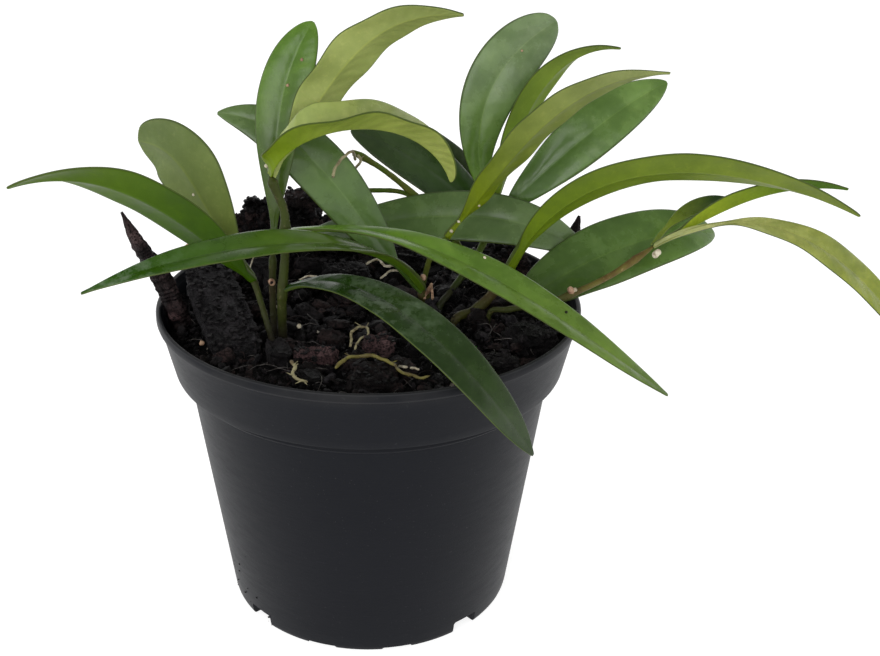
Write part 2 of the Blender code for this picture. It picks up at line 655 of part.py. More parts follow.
def main():
    clear_scene()
    make_pot()
    earth = material("substrate", (0.018, 0.014, 0.012), 0.85)
    substrate = make_substrate(earth)
    boolean(substrate, "UNION", helper_collection("chunks", soil_chunks(earth)))
    seated = make_bark() + make_roots() + make_stems()
    pockets = [pocket_for(obj, earth) for obj in seated]
    boolean(substrate, "DIFFERENCE", helper_collection("pockets", pockets))
    apply_and_keep_largest(substrate)
    make_leaves()
    plant = bpy.data.objects.new("potted_plant", None)
    bpy.context.scene.collection.objects.link(plant)
    for obj in list(bpy.context.scene.collection.objects):
        if obj is not plant:
            obj.parent = plant
            obj.matrix_parent_inverse = Matrix.Identity(4)


main()
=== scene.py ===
"""The looks of a potted hoya kentiana: a black nursery pot, wet bark mix, stems and narrow fleshy leaves.

Shapes are worked out in millimetres, and a piece becomes metres when it is finished. The leaves, stems, bark
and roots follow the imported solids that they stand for, within about 2 mm.
"""

import math
import random
from collections import namedtuple

import bmesh
import bpy
from mathutils import Euler, Matrix, Vector, noise


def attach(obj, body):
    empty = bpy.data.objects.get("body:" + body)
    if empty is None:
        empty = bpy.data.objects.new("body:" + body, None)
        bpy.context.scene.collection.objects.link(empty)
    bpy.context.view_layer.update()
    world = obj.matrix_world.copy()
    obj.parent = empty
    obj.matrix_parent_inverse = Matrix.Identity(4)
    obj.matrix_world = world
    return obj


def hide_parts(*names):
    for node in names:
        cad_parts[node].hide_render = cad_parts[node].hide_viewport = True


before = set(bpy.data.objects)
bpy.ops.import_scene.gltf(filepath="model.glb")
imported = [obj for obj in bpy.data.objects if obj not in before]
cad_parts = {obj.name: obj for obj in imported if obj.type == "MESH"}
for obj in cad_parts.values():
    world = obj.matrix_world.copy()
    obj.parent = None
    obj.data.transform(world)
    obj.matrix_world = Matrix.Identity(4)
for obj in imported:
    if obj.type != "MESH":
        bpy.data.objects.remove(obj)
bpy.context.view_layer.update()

MM = 0.001
BODY = "root"
WANDER_SEED = 12  # without it the roots and crumbs would wander another way in each run

# Camera, from the photograph: millimetres and degrees
CAMERA_TARGET = (0.0, 0.0, 60.0)
CAMERA_DISTANCE = 385.5
CAMERA_ELEVATION = 27.9
CAMERA_YAW = 3.07
CAMERA_PITCH = 2.98
CAMERA_ROLL = 1.16
FOCAL_PIXELS = 1300.0
IMAGE_WIDTH = 880
SENSOR_WIDTH = 36.0

# Light: the world's strength by direction, then the floor's own glow and the lamp
HORIZON_LIGHT = 1.62
ZENITH_LIGHT = 0.34
FLOOR_GLOW = 0.80
KEY_WATTS = 5.0
KEY_PLACE = (-0.35, -1.0, 0.75)
KEY_AIM = (0.0, 0.0, 0.1)
KEY_SIZE = 0.8

# Pot
POT_HEIGHT = 92.0
LIP_RADIUS = 60.0
BASE_RADIUS = 42.0
BODY_TOP_RADIUS = 52.2
BAND_BOTTOM = 74.0
BAND_BOTTOM_RADIUS = 55.8
BAND_TOP_RADIUS = LIP_RADIUS - 0.8
BAND_TOP = POT_HEIGHT - 2.6
RIDGE_HEIGHT = 71.5
WALL = 1.2
FLOOR = 1.6
LIP_WIDTH = 1.4
POT_STEPS = 180
NOTCHES = 12
NOTCH_PHASE = 40.0  # degrees clockwise from -Y, of a deep notch
DEEP_EVERY = 3
NOTCH_WIDTH = 8.5
DEEP_NOTCH = 4.0
SHALLOW_NOTCH = 0.9
LIP_HIGHLIGHT_LINES = (0.0897, 0.0918)  # heights in metres of the thin pale lines on the lip, painted highlights of its edges

# Bark mix
SOIL_EDGE = 87.0
SOIL_RADIUS = 56.5
HEAP_CENTRE = (-35.0, 37.0)
HEAP_HEIGHT = 9.0
HEAP_SPREAD = 19.0
BED_SINK = 1.9  # how far the fine mix lies below the chips that fill the pot
BED_RINGS = 44
BED_STEPS = 150
CHUNKS = 34
CHUNK_REACH = 49
CHUNK_TURN = 137.5  # degrees from one chunk to the next, which spreads them evenly
SHARDS = 460
CRUMBS = 5200
PALE_EVERY = 90  # one crumb in so many is a pale grain
FIBRES = 150
FIBRE_STEPS = 8
FOOT_CRUMBS = 20
HEAPS = (  # centre of the foot, half widths and height, and how many pieces
    ((-44, 37, 91), (8, 6, 12), 330),
    ((-34, 40, 94), (9, 5, 14), 330),
    ((-22, 41, 96), (9, 5, 11), 260),
    ((-10, 42, 92), (9, 5, 9), 200),
    ((40, 30, 87), (13, 7, 9.5), 330),
)

# Leaves and stems
LEAF_THICK = 1.5
MARGIN_THICK = 0.55
TIP_HALF_WIDTH = 0.35
GROOVE = 0.14
KEEL = 0.12
RIB_HALF_WIDTH = 0.75
DUST_AND_SHEEN_SPREAD = 0.16
BLADE_ACROSS = 12
BLADE_ALONG = 52
STEM_SIDES = 20
STEM_RINGS = 14  # for each point of the route

Leaf = namedtuple(
    "Leaf", "on midrib width faces fold widest taper petiole waves wave stalk", defaults=(0, 0.0, 0.9))

LEAVES = {
    "leaf_far_left": Leaf(
        "stem_far_left",
        ((-31.8, -20.6, 105.5), (-49.5, -24, 124.6), (-68.5, -28, 135.7), (-89, -32, 135.3)),
        15.6, ((0.1, 0.9, 0.35), (0, 0.8, 0.6), (0, 0.4, 1)), 8, 0.46, 0.72, 0.04, stalk=1.1),
    "leaf_left_paddle": Leaf(
        "stem_far_left",
        ((-31.5, -17.9, 107.2), (-43.2, -11, 123.3), (-50.9, -7, 134.9), (-61.2, -4, 139.2)),
        20.4, ((0.3, 1, 0.1), (0.3, 1, 0.3)), 6, 0.6, 0.42, 0.08),
    "leaf_left_tall": Leaf(
        "stem_left_back",
        ((-25.6, -16.8, 113), (-24.6, -14, 133), (-22.3, -8, 152), (-14.4, 0, 170)),
        13.9, ((-0.1, -1, 0.2), (-0.3, -1, 0.2)), 6, 0.68, 0.6, 0.06),
    "leaf_left_arch": Leaf(
        "stem_left",
        ((-24.3, -18.4, 136.3), (-10.7, -17, 157.2), (3.6, -23, 173.1), (22.5, -31, 178.2)),
        14, ((-0.5, 1, 0.2), (-0.2, 0.9, 0.6)), 2, 0.43, 0.9, 0.05, 4, 0.8),
    "leaf_long_left": Leaf(
        "stem_centre",
        ((14, 0.2, 95.4), (-6.5, -23, 116.2), (-39, -39, 120.4), (-70.2, -47, 113.5)),
        11, ((0.05, 0.3, 1), (0, -0.3, 1), (0, -0.4, 1)), 14, 0.50, 1.15, 0.06, stalk=1.4),
    "leaf_long_right": Leaf(
        "stem_left",
        ((-20.8, -20.8, 119.6), (14, -23.4, 116.2), (47.3, -34, 101.5), (78, -42, 81.7)),
        12.5, ((0.25, 0.1, 1), (0.3, -0.4, 1), (0.3, -0.4, 1)), 12, 0.52, 0.9, 0.05),
    "leaf_young_curl": Leaf(
        "stem_left",
        ((-24.7, -21.2, 135.6), (-13.0, -26.5, 147.4), (7.2, -16, 145.3), (22, -6, 128.3)),
        15.5, ((0, -0.05, 1), (0.2, -0.1, 1)), 46, 0.44, 0.5, 0.04, 4, 0.8),
    "leaf_dark_left": Leaf(
        "stem_centre",
        ((12.4, 5.2, 90.4), (-2, -4, 116.5), (-18.5, -3, 136.5), (-40.5, 0, 145.5)),
        15.5, ((0.1, -0.9, 0.6), (0.1, -0.9, 0.6)), 6, 0.5, 0.7, 0.14),
    "leaf_centre_dark": Leaf(
        "stem_back",
        ((33.2, 25.2, 105.6), (25.2, 26, 115.5), (10, 28, 126), (-5.5, 32, 131.5)),
        17, ((0.2, -0.7, 0.8), (0.2, -0.7, 0.8)), 6, 0.5, 0.7, 0.06),
    "leaf_centre_back": Leaf(
        "stem_back",
        ((36, 25.5, 101), (29, 35, 114.2), (19, 38, 123.6), (8, 40, 132.6)),
        14, ((0.2, -0.7, 0.8), (0.2, -0.7, 0.8)), 6, 0.5, 0.7, 0.06),
    "leaf_middle": Leaf(
        "stem_left",
        ((-21.6, -18, 118), (5, 10, 111), (34, 13, 111), (63, 13, 100.5)),
        16, ((0.1, -0.9, 0.7), (0.1, -0.9, 0.8)), 7, 0.62, 0.6, 0.02),
    "leaf_back_tall": Leaf(
        "stem_back",
        ((34.2, 21.2, 108.6), (31.7, 24, 131.1), (37.8, 28, 150.2), (54.3, 36, 163.4)),
        17, ((0.1, -1, 0.35), (0, -1, 0.35)), 5, 0.66, 0.48, 0.08),
    "leaf_back_narrow": Leaf(
        "stem_back",
        ((37.4, 24, 107.2), (42, 20, 133.6), (53, 20, 153), (70.6, 20, 159)),
        10.6, ((-0.6, 0.9, 0.1), (-0.5, 0.9, 0.3), (-0.1, 0.3, 1)), 10, 0.5, 0.8, 0.08),
    "leaf_back_lean": Leaf(
        "shoot_centre",
        ((22, -1.5, 112), (37.9, 0, 132.7), (56.4, 1, 150.2), (81.5, 4, 156)),
        12, ((-0.6, 0.9, 0.1), (-0.4, 0.9, 0.3)), 6, 0.4, 1.2, 0.06, 5, 0.45, 0.85),
    "leaf_back_broad": Leaf(
        "stem_back",
        ((38.2, 20.4, 106.4), (51.8, 22, 122.5), (68.8, 26, 136.3), (87.8, 34, 146)),
        15.8, ((-0.4, -1, 0.6), (-0.2, -1, 0.6)), 5, 0.56, 0.66, 0.07, 3, 0.2),
    "leaf_right_arch": Leaf(
        "stem_right",
        ((40, -2, 102), (64.5, -6, 128.3), (99.8, -10, 131.8), (133, -14, 121.4)),
        14, ((-0.35, 0.85, 0.3), (0, 0.76, 0.65), (0.2, 0.4, 1)), 8, 0.46, 0.6, 0.06, stalk=1.6),
    "leaf_right_broad": Leaf(
        "branch_right",
        ((41, -6.5, 94.5), (56, 1, 98.3), (79.6, 10, 105.1), (103.2, 20, 103.4)),
        20.5, ((-0.1, -0.7, 0.9), (-0.1, -0.8, 0.8)), 6, 0.52, 0.64, 0.05, 3, 0.2),
    "leaf_shoot_long": Leaf(
        "branch_right",
        ((81.2, 3.6, 109), (98, 4.6, 115.6), (116, 6, 122), (137, 7.5, 121.8)),
        9, ((-0.2, 0.8, 0.5), (-0.1, 0.6, 0.8)), 20, 0.45, 0.9, 0.14),
    "leaf_shoot_bud": Leaf(
        "branch_right",
        ((78.4, 4.8, 105.8), (88, 10, 111.2), (95.5, 12, 115), (104, 13, 117.3)),
        5.5, ((-0.2, -0.6, 1), (-0.2, -0.6, 1)), 14, 0.55, 0.8, 0.2),
    "leaf_shoot_droop": Leaf(
        "branch_right",
        ((83.4, -0.2, 106.6), (107, 0.5, 114.1), (133.5, -1, 103.4), (160, -4, 76)),
        10.5, ((0.2, -0.8, 0.8), (0.5, -0.8, 0.8)), 10, 0.66, 0.7, 0.2, 4, 0.6),
    "leaf_over_rim": Leaf(
        "stem_left",
        ((-22, -24, 104.5), (2, -40, 109), (24, -58, 97), (40, -64, 77)),
        13, ((0.4, -0.6, 1), (0.5, -0.9, 0.8)), 8, 0.5, 0.8, 0.05),
}

# Greens of the sides that face away, linear
DEEP = (0.014, 0.043, 0.003)
MATURE = (0.030, 0.082, 0.008)
GRASS = (0.055, 0.120, 0.004)
OLIVE = (0.130, 0.175, 0.030)
MARGIN = (0.006, 0.010, 0.004)

# A leaf's greens, linear: upper side at the base and the tip, then underside at the base and the tip.
# young is how ribbed it is, and dust how much pale patching its upper side shows, partly hard-water marks and
# partly painted sheen, and where.
Tone = namedtuple("Tone", "upper upper_tip under under_tip young dust dust_at", defaults=(0.0, 0.04, 0.5))

# Some upper sides' paler, greyer tips are partly painted sheen, some undersides' saturated greens are partly
# painted light shining through, and two leaves hold painted shade.
TONES = {
    # its underside greens are partly painted light shining through the blade
    "leaf_far_left": Tone(MATURE, (0.075, 0.120, 0.020), (0.030, 0.074, 0.000), (0.068, 0.125, 0.001)),
    "leaf_left_paddle": Tone(MATURE, MATURE, (0.140, 0.185, 0.040), (0.145, 0.190, 0.070)),
    # its darker upper base is painted shade from the leaves over it
    "leaf_left_tall": Tone((0.050, 0.085, 0.008), (0.112, 0.215, 0.026), OLIVE, OLIVE),
    "leaf_left_arch": Tone(OLIVE, OLIVE, (0.310, 0.360, 0.110), (0.210, 0.245, 0.070), 0.7),
    # its strong dust near the tip is partly hard-water marks and partly painted sheen
    "leaf_long_left": Tone((0.075, 0.125, 0.016), (0.028, 0.088, 0.002), (0.10, 0.19, 0.01), GRASS,
                           0.0, 0.9, 0.95),
    "leaf_long_right": Tone((0.100, 0.200, 0.018), (0.115, 0.190, 0.026), (0.10, 0.19, 0.01), GRASS),
    "leaf_young_curl": Tone((0.300, 0.370, 0.100), (0.300, 0.330, 0.110), (0.140, 0.205, 0.010),
                            (0.340, 0.380, 0.100), 1.0),
    # its paler upper tip is partly painted sheen
    "leaf_dark_left": Tone((0.080, 0.155, 0.026), (0.110, 0.175, 0.055), GRASS, GRASS),
    # its paler upper tip is partly painted sheen
    "leaf_centre_dark": Tone((0.016, 0.048, 0.004), (0.042, 0.075, 0.020), GRASS, GRASS),
    # its dark greens are partly painted shade, as it lies behind the leaves in front
    "leaf_centre_back": Tone((0.022, 0.042, 0.004), (0.024, 0.045, 0.006), GRASS, GRASS),
    "leaf_middle": Tone((0.068, 0.130, 0.022), (0.115, 0.175, 0.065), GRASS, GRASS),
    # its pale, greyer upper tip is partly painted sheen
    "leaf_back_tall": Tone((0.120, 0.225, 0.030), (0.180, 0.250, 0.115), OLIVE, OLIVE),
    "leaf_back_narrow": Tone(MATURE, (0.100, 0.140, 0.075), (0.140, 0.225, 0.020), (0.190, 0.260, 0.040)),
    "leaf_back_lean": Tone(GRASS, OLIVE, (0.120, 0.165, 0.003), (0.215, 0.245, 0.085), 0.4),
    "leaf_back_broad": Tone((0.105, 0.190, 0.045), (0.150, 0.250, 0.060), OLIVE, OLIVE),
    # its underside greens are partly painted light shining through, and its grey-green upper tip is partly a
    # painted reflection of the sky
    "leaf_right_arch": Tone(MATURE, (0.200, 0.240, 0.120), (0.100, 0.155, 0.004), (0.145, 0.190, 0.022)),
    "leaf_right_broad": Tone((0.052, 0.096, 0.020), (0.115, 0.205, 0.042), GRASS, GRASS, 0.0, 0.05),
    "leaf_shoot_long": Tone((0.210, 0.270, 0.012), (0.140, 0.190, 0.060), (0.210, 0.270, 0.012), GRASS, 0.3),
    "leaf_shoot_bud": Tone((0.170, 0.230, 0.015), DEEP, (0.170, 0.230, 0.015), OLIVE, 0.3),
    "leaf_shoot_droop": Tone((0.360, 0.370, 0.130), (0.230, 0.275, 0.008), (0.360, 0.370, 0.130),
                             (0.230, 0.275, 0.008), 0.6),
    # its dust is partly hard-water marks and partly painted gloss patches
    "leaf_over_rim": Tone((0.013, 0.038, 0.003), (0.021, 0.043, 0.007), GRASS, GRASS, 0.0, 0.42, 0.36),
}

Stem = namedtuple("Stem", "route start end woody on", defaults=(None,))

STEMS = {
    "stem_left": Stem(
        ((-23.6, -21.5, 79), (-23.6, -21.8, 88), (-23.4, -23, 101), (-22.4, -22, 112), (-22, -21.5, 120.5),
         (-22.3, -21, 126), (-24.2, -20.5, 131), (-25.4, -20, 134.6)), 1.25, 1.1, True),
    "stem_left_back": Stem(
        ((-26.1, -19, 79), (-26.1, -19, 90), (-26.2, -18, 102), (-25.8, -17, 112.2)), 0.9, 0.9, False),
    "stem_far_left": Stem(
        ((-25.6, -25.4, 79), (-25.8, -25.6, 88), (-27.4, -25, 95.5), (-29.5, -21.5, 101.5),
         (-31.1, -19, 106)), 0.8, 0.8, False),
    "stem_centre": Stem(((18, 3, 79), (17, 3, 87), (14.8, 3, 93)), 1.5, 1.4, True),
    "shoot_centre": Stem(
        ((15.4, 4, 94.4), (17.2, 1, 104), (21.3, -1.4, 110.5)), 0.8, 0.8, False, "stem_centre"),
    "stem_back": Stem(
        ((19.5, 0.8, 79), (19.8, 1.2, 88), (23, 6, 90.5), (27.2, 11, 94.2), (32.2, 17, 99),
         (36.3, 22, 106.6)), 1.0, 1.0, False),
    "stem_right": Stem(
        ((23.2, -7.5, 79), (24, -7.3, 88), (29, -4.5, 89.4), (33.7, -3.5, 93.2), (39.2, -2, 101)),
        1.2, 1.5, True),
    "branch_right": Stem(
        ((33, -6.7, 80), (33.8, -6.9, 90), (38.3, -9.3, 92), (43, -9.5, 92.9), (49.6, -10, 94.5),
         (56, -9.5, 96.7), (68.3, -4, 100.4), (80.5, 1.4, 106.6)), 0.75, 0.85, True),
    "vine_tip": Stem(
        ((27.4, 13.6, 99.2), (22, 18, 107), (13, 19, 116), (4, 18, 124), (-5, 17, 130)), 0.9, 0.8, False,
        "stem_back"),
    "shoot_small": Stem(
        ((14.5, 21.2, 113.6), (9, 22, 116), (1, 21, 116.8), (-5, 19.5, 117)), 0.7, 0.7, False,
        "vine_tip"),
}

# Swollen nodes: the stem, the share of its length, and how much thicker it is there
NODES = (
    ("stem_left", 0.0, 0.15), ("stem_left", 0.32, 0.15), ("stem_left", 0.57, 0.3), ("stem_left", 0.93, 0.3),
    ("stem_left_back", 0.93, 0.2), ("stem_far_left", 0.93, 0.25), ("stem_centre", 0.9, 0.25),
    ("shoot_centre", 0.92, 0.25), ("stem_back", 0.93, 0.3), ("stem_right", 0.62, 0.15),
    ("stem_right", 0.93, 0.2), ("branch_right", 0.3, 0.2), ("branch_right", 0.71, 0.35),
    ("branch_right", 0.94, 0.35), ("vine_tip", 0.5, 0.3), ("vine_tip", 0.93, 0.35),
    ("shoot_small", 0.93, 0.25),
)

ROOTS = {
    "root_front": (((-9, -42, 90.1), (-5.3, -37.6, 91.3), (0.6, -37.8, 91.8), (5, -41.7, 91.9),
                    (7.2, -45.6, 91.5), (10, -48, 91), (15.3, -47.5, 90.3)), 0.5),
    "root_left": (((-20.6, -36.5, 90), (-19.4, -40.7, 90.4), (-19.7, -44.4, 90.2), (-18, -47.6, 90),
                   (-15.7, -48.6, 89.6)), 0.5),
    "root_middle": (((-5.4, -29.5, 90.6), (-4.9, -24, 91.4), (-3.4, -20.1, 91.6), (-1.2, -17.8, 91.2),
                     (0, -21.5, 91), (-2.8, -25.2, 91), (-4.3, -30.5, 90.4)), 0.42),
    "root_aerial": (((-3.4, 15.2, 129.8), (-3, 13, 127), (-9, 11, 122), (-10.5, 10, 119)), 0.42),
}

# Twigs, stubs and rootlets: finish, route and radius
TWIGS = (
    ("rosy", ((15.4, 1.8, 90.5), (17.6, 1, 95.6)), 0.5),
    ("rosy", ((17.9, 1.4, 90.5), (17.5, 1, 95.2)), 0.42),
    ("pale", ((-1.2, 19.3, 94.3), (2.4, 21.7, 94.8), (4.4, 17, 94.6), (7.4, 18.5, 94.2)), 0.4),
    ("pale", ((7.2, -41.1, 90.6), (9.3, -43.2, 91.2)), 0.33),
    ("pale", ((10, -42.3, 90.6), (12.2, -44.4, 91.2)), 0.3),
    ("pale", ((80.1, -2.6, 105.6), (80.9, -4.8, 107.6)), 0.9),
    ("straw", ((-4, 12, 129), (-4.7, -3, 136), (-7.1, -6, 135.2), (-9, -7, 133), (-9.8, -8, 130.3)), 0.42),
    ("pale", ((-34.8, 10, 97), (-33.4, 10, 100.6)), 0.22),
    ("rosy", ((-52.8, 11, 101.2), (-52.6, 11.4, 103), (-51, 11.8, 103.8), (-49.9, 12, 102.8),
              (-50.6, 12, 101.8)), 0.5),
    ("pale", ((-20, 2, 96.5), (-17, 0.5, 98.5), (-13, 1, 97)), 0.28),
    ("pale", ((3, 12, 92.5), (6, 14.5, 94), (10.5, 15, 93.5)), 0.3),
)

# Buds, scars and grains: finish, centre and radius
BEADS = (
    ("rosy", (-26.1, -20.6, 105.4), 0.95),
    ("dark", (-26.1, -21.3, 105.5), 0.45),
    ("pale", (-22.4, -22.6, 119.8), 0.75),
    ("rosy", (-21, -22.2, 118.9), 0.7),
    ("pale", (-26.3, -20.8, 137.6), 0.5),
    ("rosy", (15, 1, 97.6), 0.9),
    ("rosy", (56, -9.6, 98), 1.05),
    ("pale", (57, -10, 98.4), 0.6),
    ("pale", (-19.5, -16.5, 90.6), 0.6),
    ("rosy", (-45.1, -24, 89.2), 0.7),
)

# Marks on blades: leaf, share of its length, place across, upper side or not, finish and radius
BLEMISHES = (
    ("leaf_long_right", 0.47, -0.72, True, "pale", 0.42),
    ("leaf_long_right", 0.69, -0.45, True, "dark", 0.4),
    ("leaf_back_lean", 0.03, 0.6, False, "pale", 0.5),
    ("leaf_back_lean", 0.07, 0.7, False, "pale", 0.4),
    ("leaf_back_lean", 0.15, -0.6, False, "pale", 0.36),
    ("leaf_left_paddle", 0.42, 0.2, False, "pale", 0.4),
    ("leaf_left_paddle", 0.15, 0.5, False, "rosy", 0.6),
    ("leaf_left_tall", 0.72, 0.1, True, "rosy", 0.45),
    ("leaf_left_tall", 0.84, 0.35, True, "rosy", 0.4),
    ("leaf_back_tall", 0.8, 0.1, True, "rosy", 0.36),
    ("leaf_far_left", 0.2, 0.3, False, "dark", 0.3),
)

# A loose bark piece's centre, half sizes, turn about X, Y and Z in degrees, and seed
Bark = namedtuple("Bark", "centre half turn seed")

BARK = {
    "bark_slab": Bark((-41, -10, 92.4), (8, 23, 2.4), (14, 6, 20), 3),
    "bark_back": Bark((-27, 41, 97), (8.5, 6, 9), (0, 5, -12), 4),
    "bark_back_top": Bark((-20, 42, 107), (6.8, 5, 2.2), (3, 4, 8), 5),
    "bark_back_left": Bark((-40, 34.5, 94.6), (4.4, 4.2, 5), (0, -8, 20), 14),
    "bark_chip_round": Bark((2, -27, 89.5), (4.6, 3.6, 3), (0, 0, 10), 6),
    "bark_chip_front": Bark((1, -44.5, 88.5), (6.4, 6, 3), (8, 0, 0), 7),
    "bark_red": Bark((-14.5, -31, 88.5), (6.5, 2.6, 2.4), (0, -6, -12), 8),
    "bark_right": Bark((44, -22, 88.5), (7, 5.6, 4), (0, 12, 30), 9),
    "bark_right_front": Bark((33, -37, 88), (6.5, 4, 3), (6, 0, 22), 10),
    "bark_middle": Bark((-7, 20, 90), (8, 5, 4), (0, 8, 15), 11),
    "bark_middle_right": Bark((9, 33, 90.5), (9, 5, 4), (6, 0, -14), 12),
    "bark_back_right": Bark((35, 29, 90), (8, 5, 4.5), (0, -10, -35), 13),
}

STAKE_ROUTE = ((-52.5, -5.5, 86), (-55.8, -5, 96), (-60.2, -6, 105.3), (-63.6, -7, 113), (-66.4, -8, 120.5))
STAKE_RADII = (3.3, 3.1, 2.7, 1.9, 0.4)
SPIKE_ROUTE = ((49.5, 14, 86), (53, 15.5, 94), (59.4, 17.5, 103), (61.6, 18, 110))
SPIKE_RADII = (2.5, 2.4, 2.2, 0.4)
SPLINTER_RINGS = 70
SPLINTER_SIDES = 28
ROOT_RINGS = 40
ROOT_SIDES = 12
ROOT_NUBS = 6


# Node helpers for the finishes

MIX_COLOUR_SOCKETS = (0, 6, 7)  # a colour mix node's factor, first and second colour
MIX_COLOUR_RESULT = 2


def new_finish(name, **sockets):
    """A material with values on its shader's own sockets. Underscores in a socket's name stand for spaces."""
    finish = bpy.data.materials.new(name)
    finish.use_nodes = True
    shader = finish.node_tree.nodes["Principled BSDF"]
    for socket, value in sockets.items():
        shader.inputs[socket.replace("_", " ")].default_value = value
    return finish, finish.node_tree, shader


def add(tree, kind, inputs=(), **settings):
    """A node with its settings, and inputs that are numbers or other nodes' outputs."""
    made = tree.nodes.new(kind)
    for setting, value in settings.items():
        setattr(made, setting, value)
    for socket, value in inputs:
        if isinstance(value, bpy.types.NodeSocket):
            tree.links.new(value, made.inputs[socket])
        else:
            made.inputs[socket].default_value = value
    return made


def place(tree, stretch=(1.0, 1.0, 1.0)):
    """Object coordinates, stretched along each axis."""
    where = add(tree, "ShaderNodeTexCoord").outputs["Object"]
    return add(tree, "ShaderNodeMapping", [("Vector", where), ("Scale", stretch)]).outputs["Vector"]


def grain(tree, scale, detail=4.0, rough=0.55, vector=None):
    """A noise pattern from 0 to 1, with its scale in cells for each metre."""
    vector = vector or place(tree)
    settings = [("Vector", vector), ("Scale", scale), ("Detail", detail), ("Roughness", rough)]
    return add(tree, "ShaderNodeTexNoise", settings).outputs["Fac"]


def calc(tree, operation, first, second=0.0, third=0.0, clamp=False):
    """A sum with up to three terms."""
    inputs = [(0, first), (1, second), (2, third)]
    return add(tree, "ShaderNodeMath", inputs, operation=operation, use_clamp=clamp).outputs[0]


def between(tree, value, low, high, from_value=0.0, to_value=1.0):
    """The value taken from low and high to a new range, smoothly, and clamped."""
    sockets = ("Value", "From Min", "From Max", "To Min", "To Max")
    inputs = zip(sockets, (value, low, high, from_value, to_value), strict=True)
    return add(tree, "ShaderNodeMapRange", inputs, interpolation_type="SMOOTHSTEP").outputs["Result"]


def blend(tree, share, first, second, mode="MIX"):
    """Two colours mixed by a share. A colour is an output or a linear triple."""
    colours = [(*c, 1.0) if isinstance(c, tuple) else c for c in (first, second)]
    inputs = zip(MIX_COLOUR_SOCKETS, (share, *colours), strict=True)
    made = add(tree, "ShaderNodeMix", inputs, data_type="RGBA", blend_type=mode)
    return made.outputs[MIX_COLOUR_RESULT]


def relief(tree, height, strength, distance, normal=None):
    """A bump from a height. distance is in metres."""
    inputs = [("Height", height), ("Strength", strength), ("Distance", distance)]
    if normal:
        inputs.append(("Normal", normal))
    return add(tree, "ShaderNodeBump", inputs).outputs["Normal"]


def wear(tree, shader, colour=None, roughness=None, normal=None):
    """Connects a finish's colour, roughness and relief to its shader."""
    for socket, value in (("Base Color", colour), ("Roughness", roughness), ("Normal", normal)):
        if value is not None:
            tree.links.new(value, shader.inputs[socket])


# Finishes

def moulded_plastic():
    """Black moulded plastic: fine grain, scuffs round the pot, dust on the rim, and two thin painted
    highlight lines on the lip.
    """
    finish, tree, shader = new_finish("pot_plastic", Specular_IOR_Level=0.12)
    height = add(tree, "ShaderNodeSeparateXYZ", [("Vector", place(tree))])
    cloudy = grain(tree, 45.0, 5.0)
    scuffs = grain(tree, 140.0, 6.0, 0.7, place(tree, (1.0, 1.0, 5.0)))
    speckle = grain(tree, 1500.0, 2.0)
    high = between(tree, height.outputs["Z"], 0.086, 0.0925)
    dust = calc(tree, "MULTIPLY", high, between(tree, cloudy, 0.45, 0.72, 0.0, 0.4), clamp=True)
    rubbed = between(tree, scuffs, 0.6, 0.78, 0.0, 0.5)
    black = blend(tree, cloudy, (0.0024, 0.0031, 0.0054), (0.0042, 0.0049, 0.0076))
    marked = blend(tree, rubbed, black, (0.014, 0.0145, 0.018))
    dusty = blend(tree, dust, marked, (0.030, 0.029, 0.028))
    fine = blend(tree, between(tree, speckle, 0.68, 0.76, 0.0, 0.16), dusty, (0.10, 0.098, 0.095))
    # the lip's two thin pale lines are painted highlights of its edges
    for line in LIP_HIGHLIGHT_LINES:
        away = calc(tree, "ABSOLUTE", calc(tree, "SUBTRACT", height.outputs["Z"], line))
        fine = blend(tree, between(tree, away, 0.00008, 0.0003, 0.3, 0.0), fine, (0.042, 0.042, 0.044))
    rough = between(tree, calc(tree, "ADD", scuffs, dust), 0.3, 1.2, 0.42, 0.62)
    bump = relief(tree, grain(tree, 2600.0, 3.0), 0.12, 0.0002)
    bump = relief(tree, scuffs, 0.08, 0.0006, bump)
    wear(tree, shader, fine, rough, bump)
    return finish


def leaf_across(tree):
    """Across a blade, 0 at the midrib and 1 at the margins, and along it from 0 to 1."""
    uv = add(tree, "ShaderNodeUVMap", uv_map="blade")
    parts = add(tree, "ShaderNodeSeparateXYZ", [("Vector", uv.outputs["UV"])])
    across = calc(tree, "ABSOLUTE", calc(tree, "MULTIPLY_ADD", parts.outputs["X"], 2.0, -1.0))
    return across, parts.outputs["Y"]


def own(tree, name, output="Fac"):
    """A value kept on the piece's own points."""
    return add(tree, "ShaderNodeAttribute", attribute_name=name).outputs[output]


def leaf_relief(tree, across, along, veins, cells, swells=None):
    """Fine skin, faint side veins that lean to the tip, and the ribs of young leaves."""
    lean = calc(tree, "MULTIPLY_ADD", across, -0.07, along)
    ribs = calc(tree, "SINE", calc(tree, "MULTIPLY", lean, 125.0))
    soft = calc(tree, "MULTIPLY", ribs, calc(tree, "MULTIPLY_ADD", own(tree, "young"), 0.4, veins))
    height = calc(tree, "MULTIPLY", soft, between(tree, across, 0.06, 0.35))
    bump = relief(tree, height, 0.30, 0.0003, swells)
    return relief(tree, cells, 0.10, 0.00025, bump)


def mottled(tree, tint, patches, streaks, cells, depth):
    """A leaf's green with darker patches, lighter streaks and fine grains, all of its own hue."""
    dark = blend(tree, between(tree, patches, 0.35, 0.7, depth, 0.0), tint, (0.30, 0.38, 0.25), "MULTIPLY")
    light = blend(tree, between(tree, streaks, 0.5, 0.8, 0.0, 0.5), dark, (1.5, 1.35, 1.5), "MULTIPLY")
    return blend(tree, between(tree, cells, 0.60, 0.8, 0.0, 0.5), light, (1.4, 1.3, 1.2), "MULTIPLY")


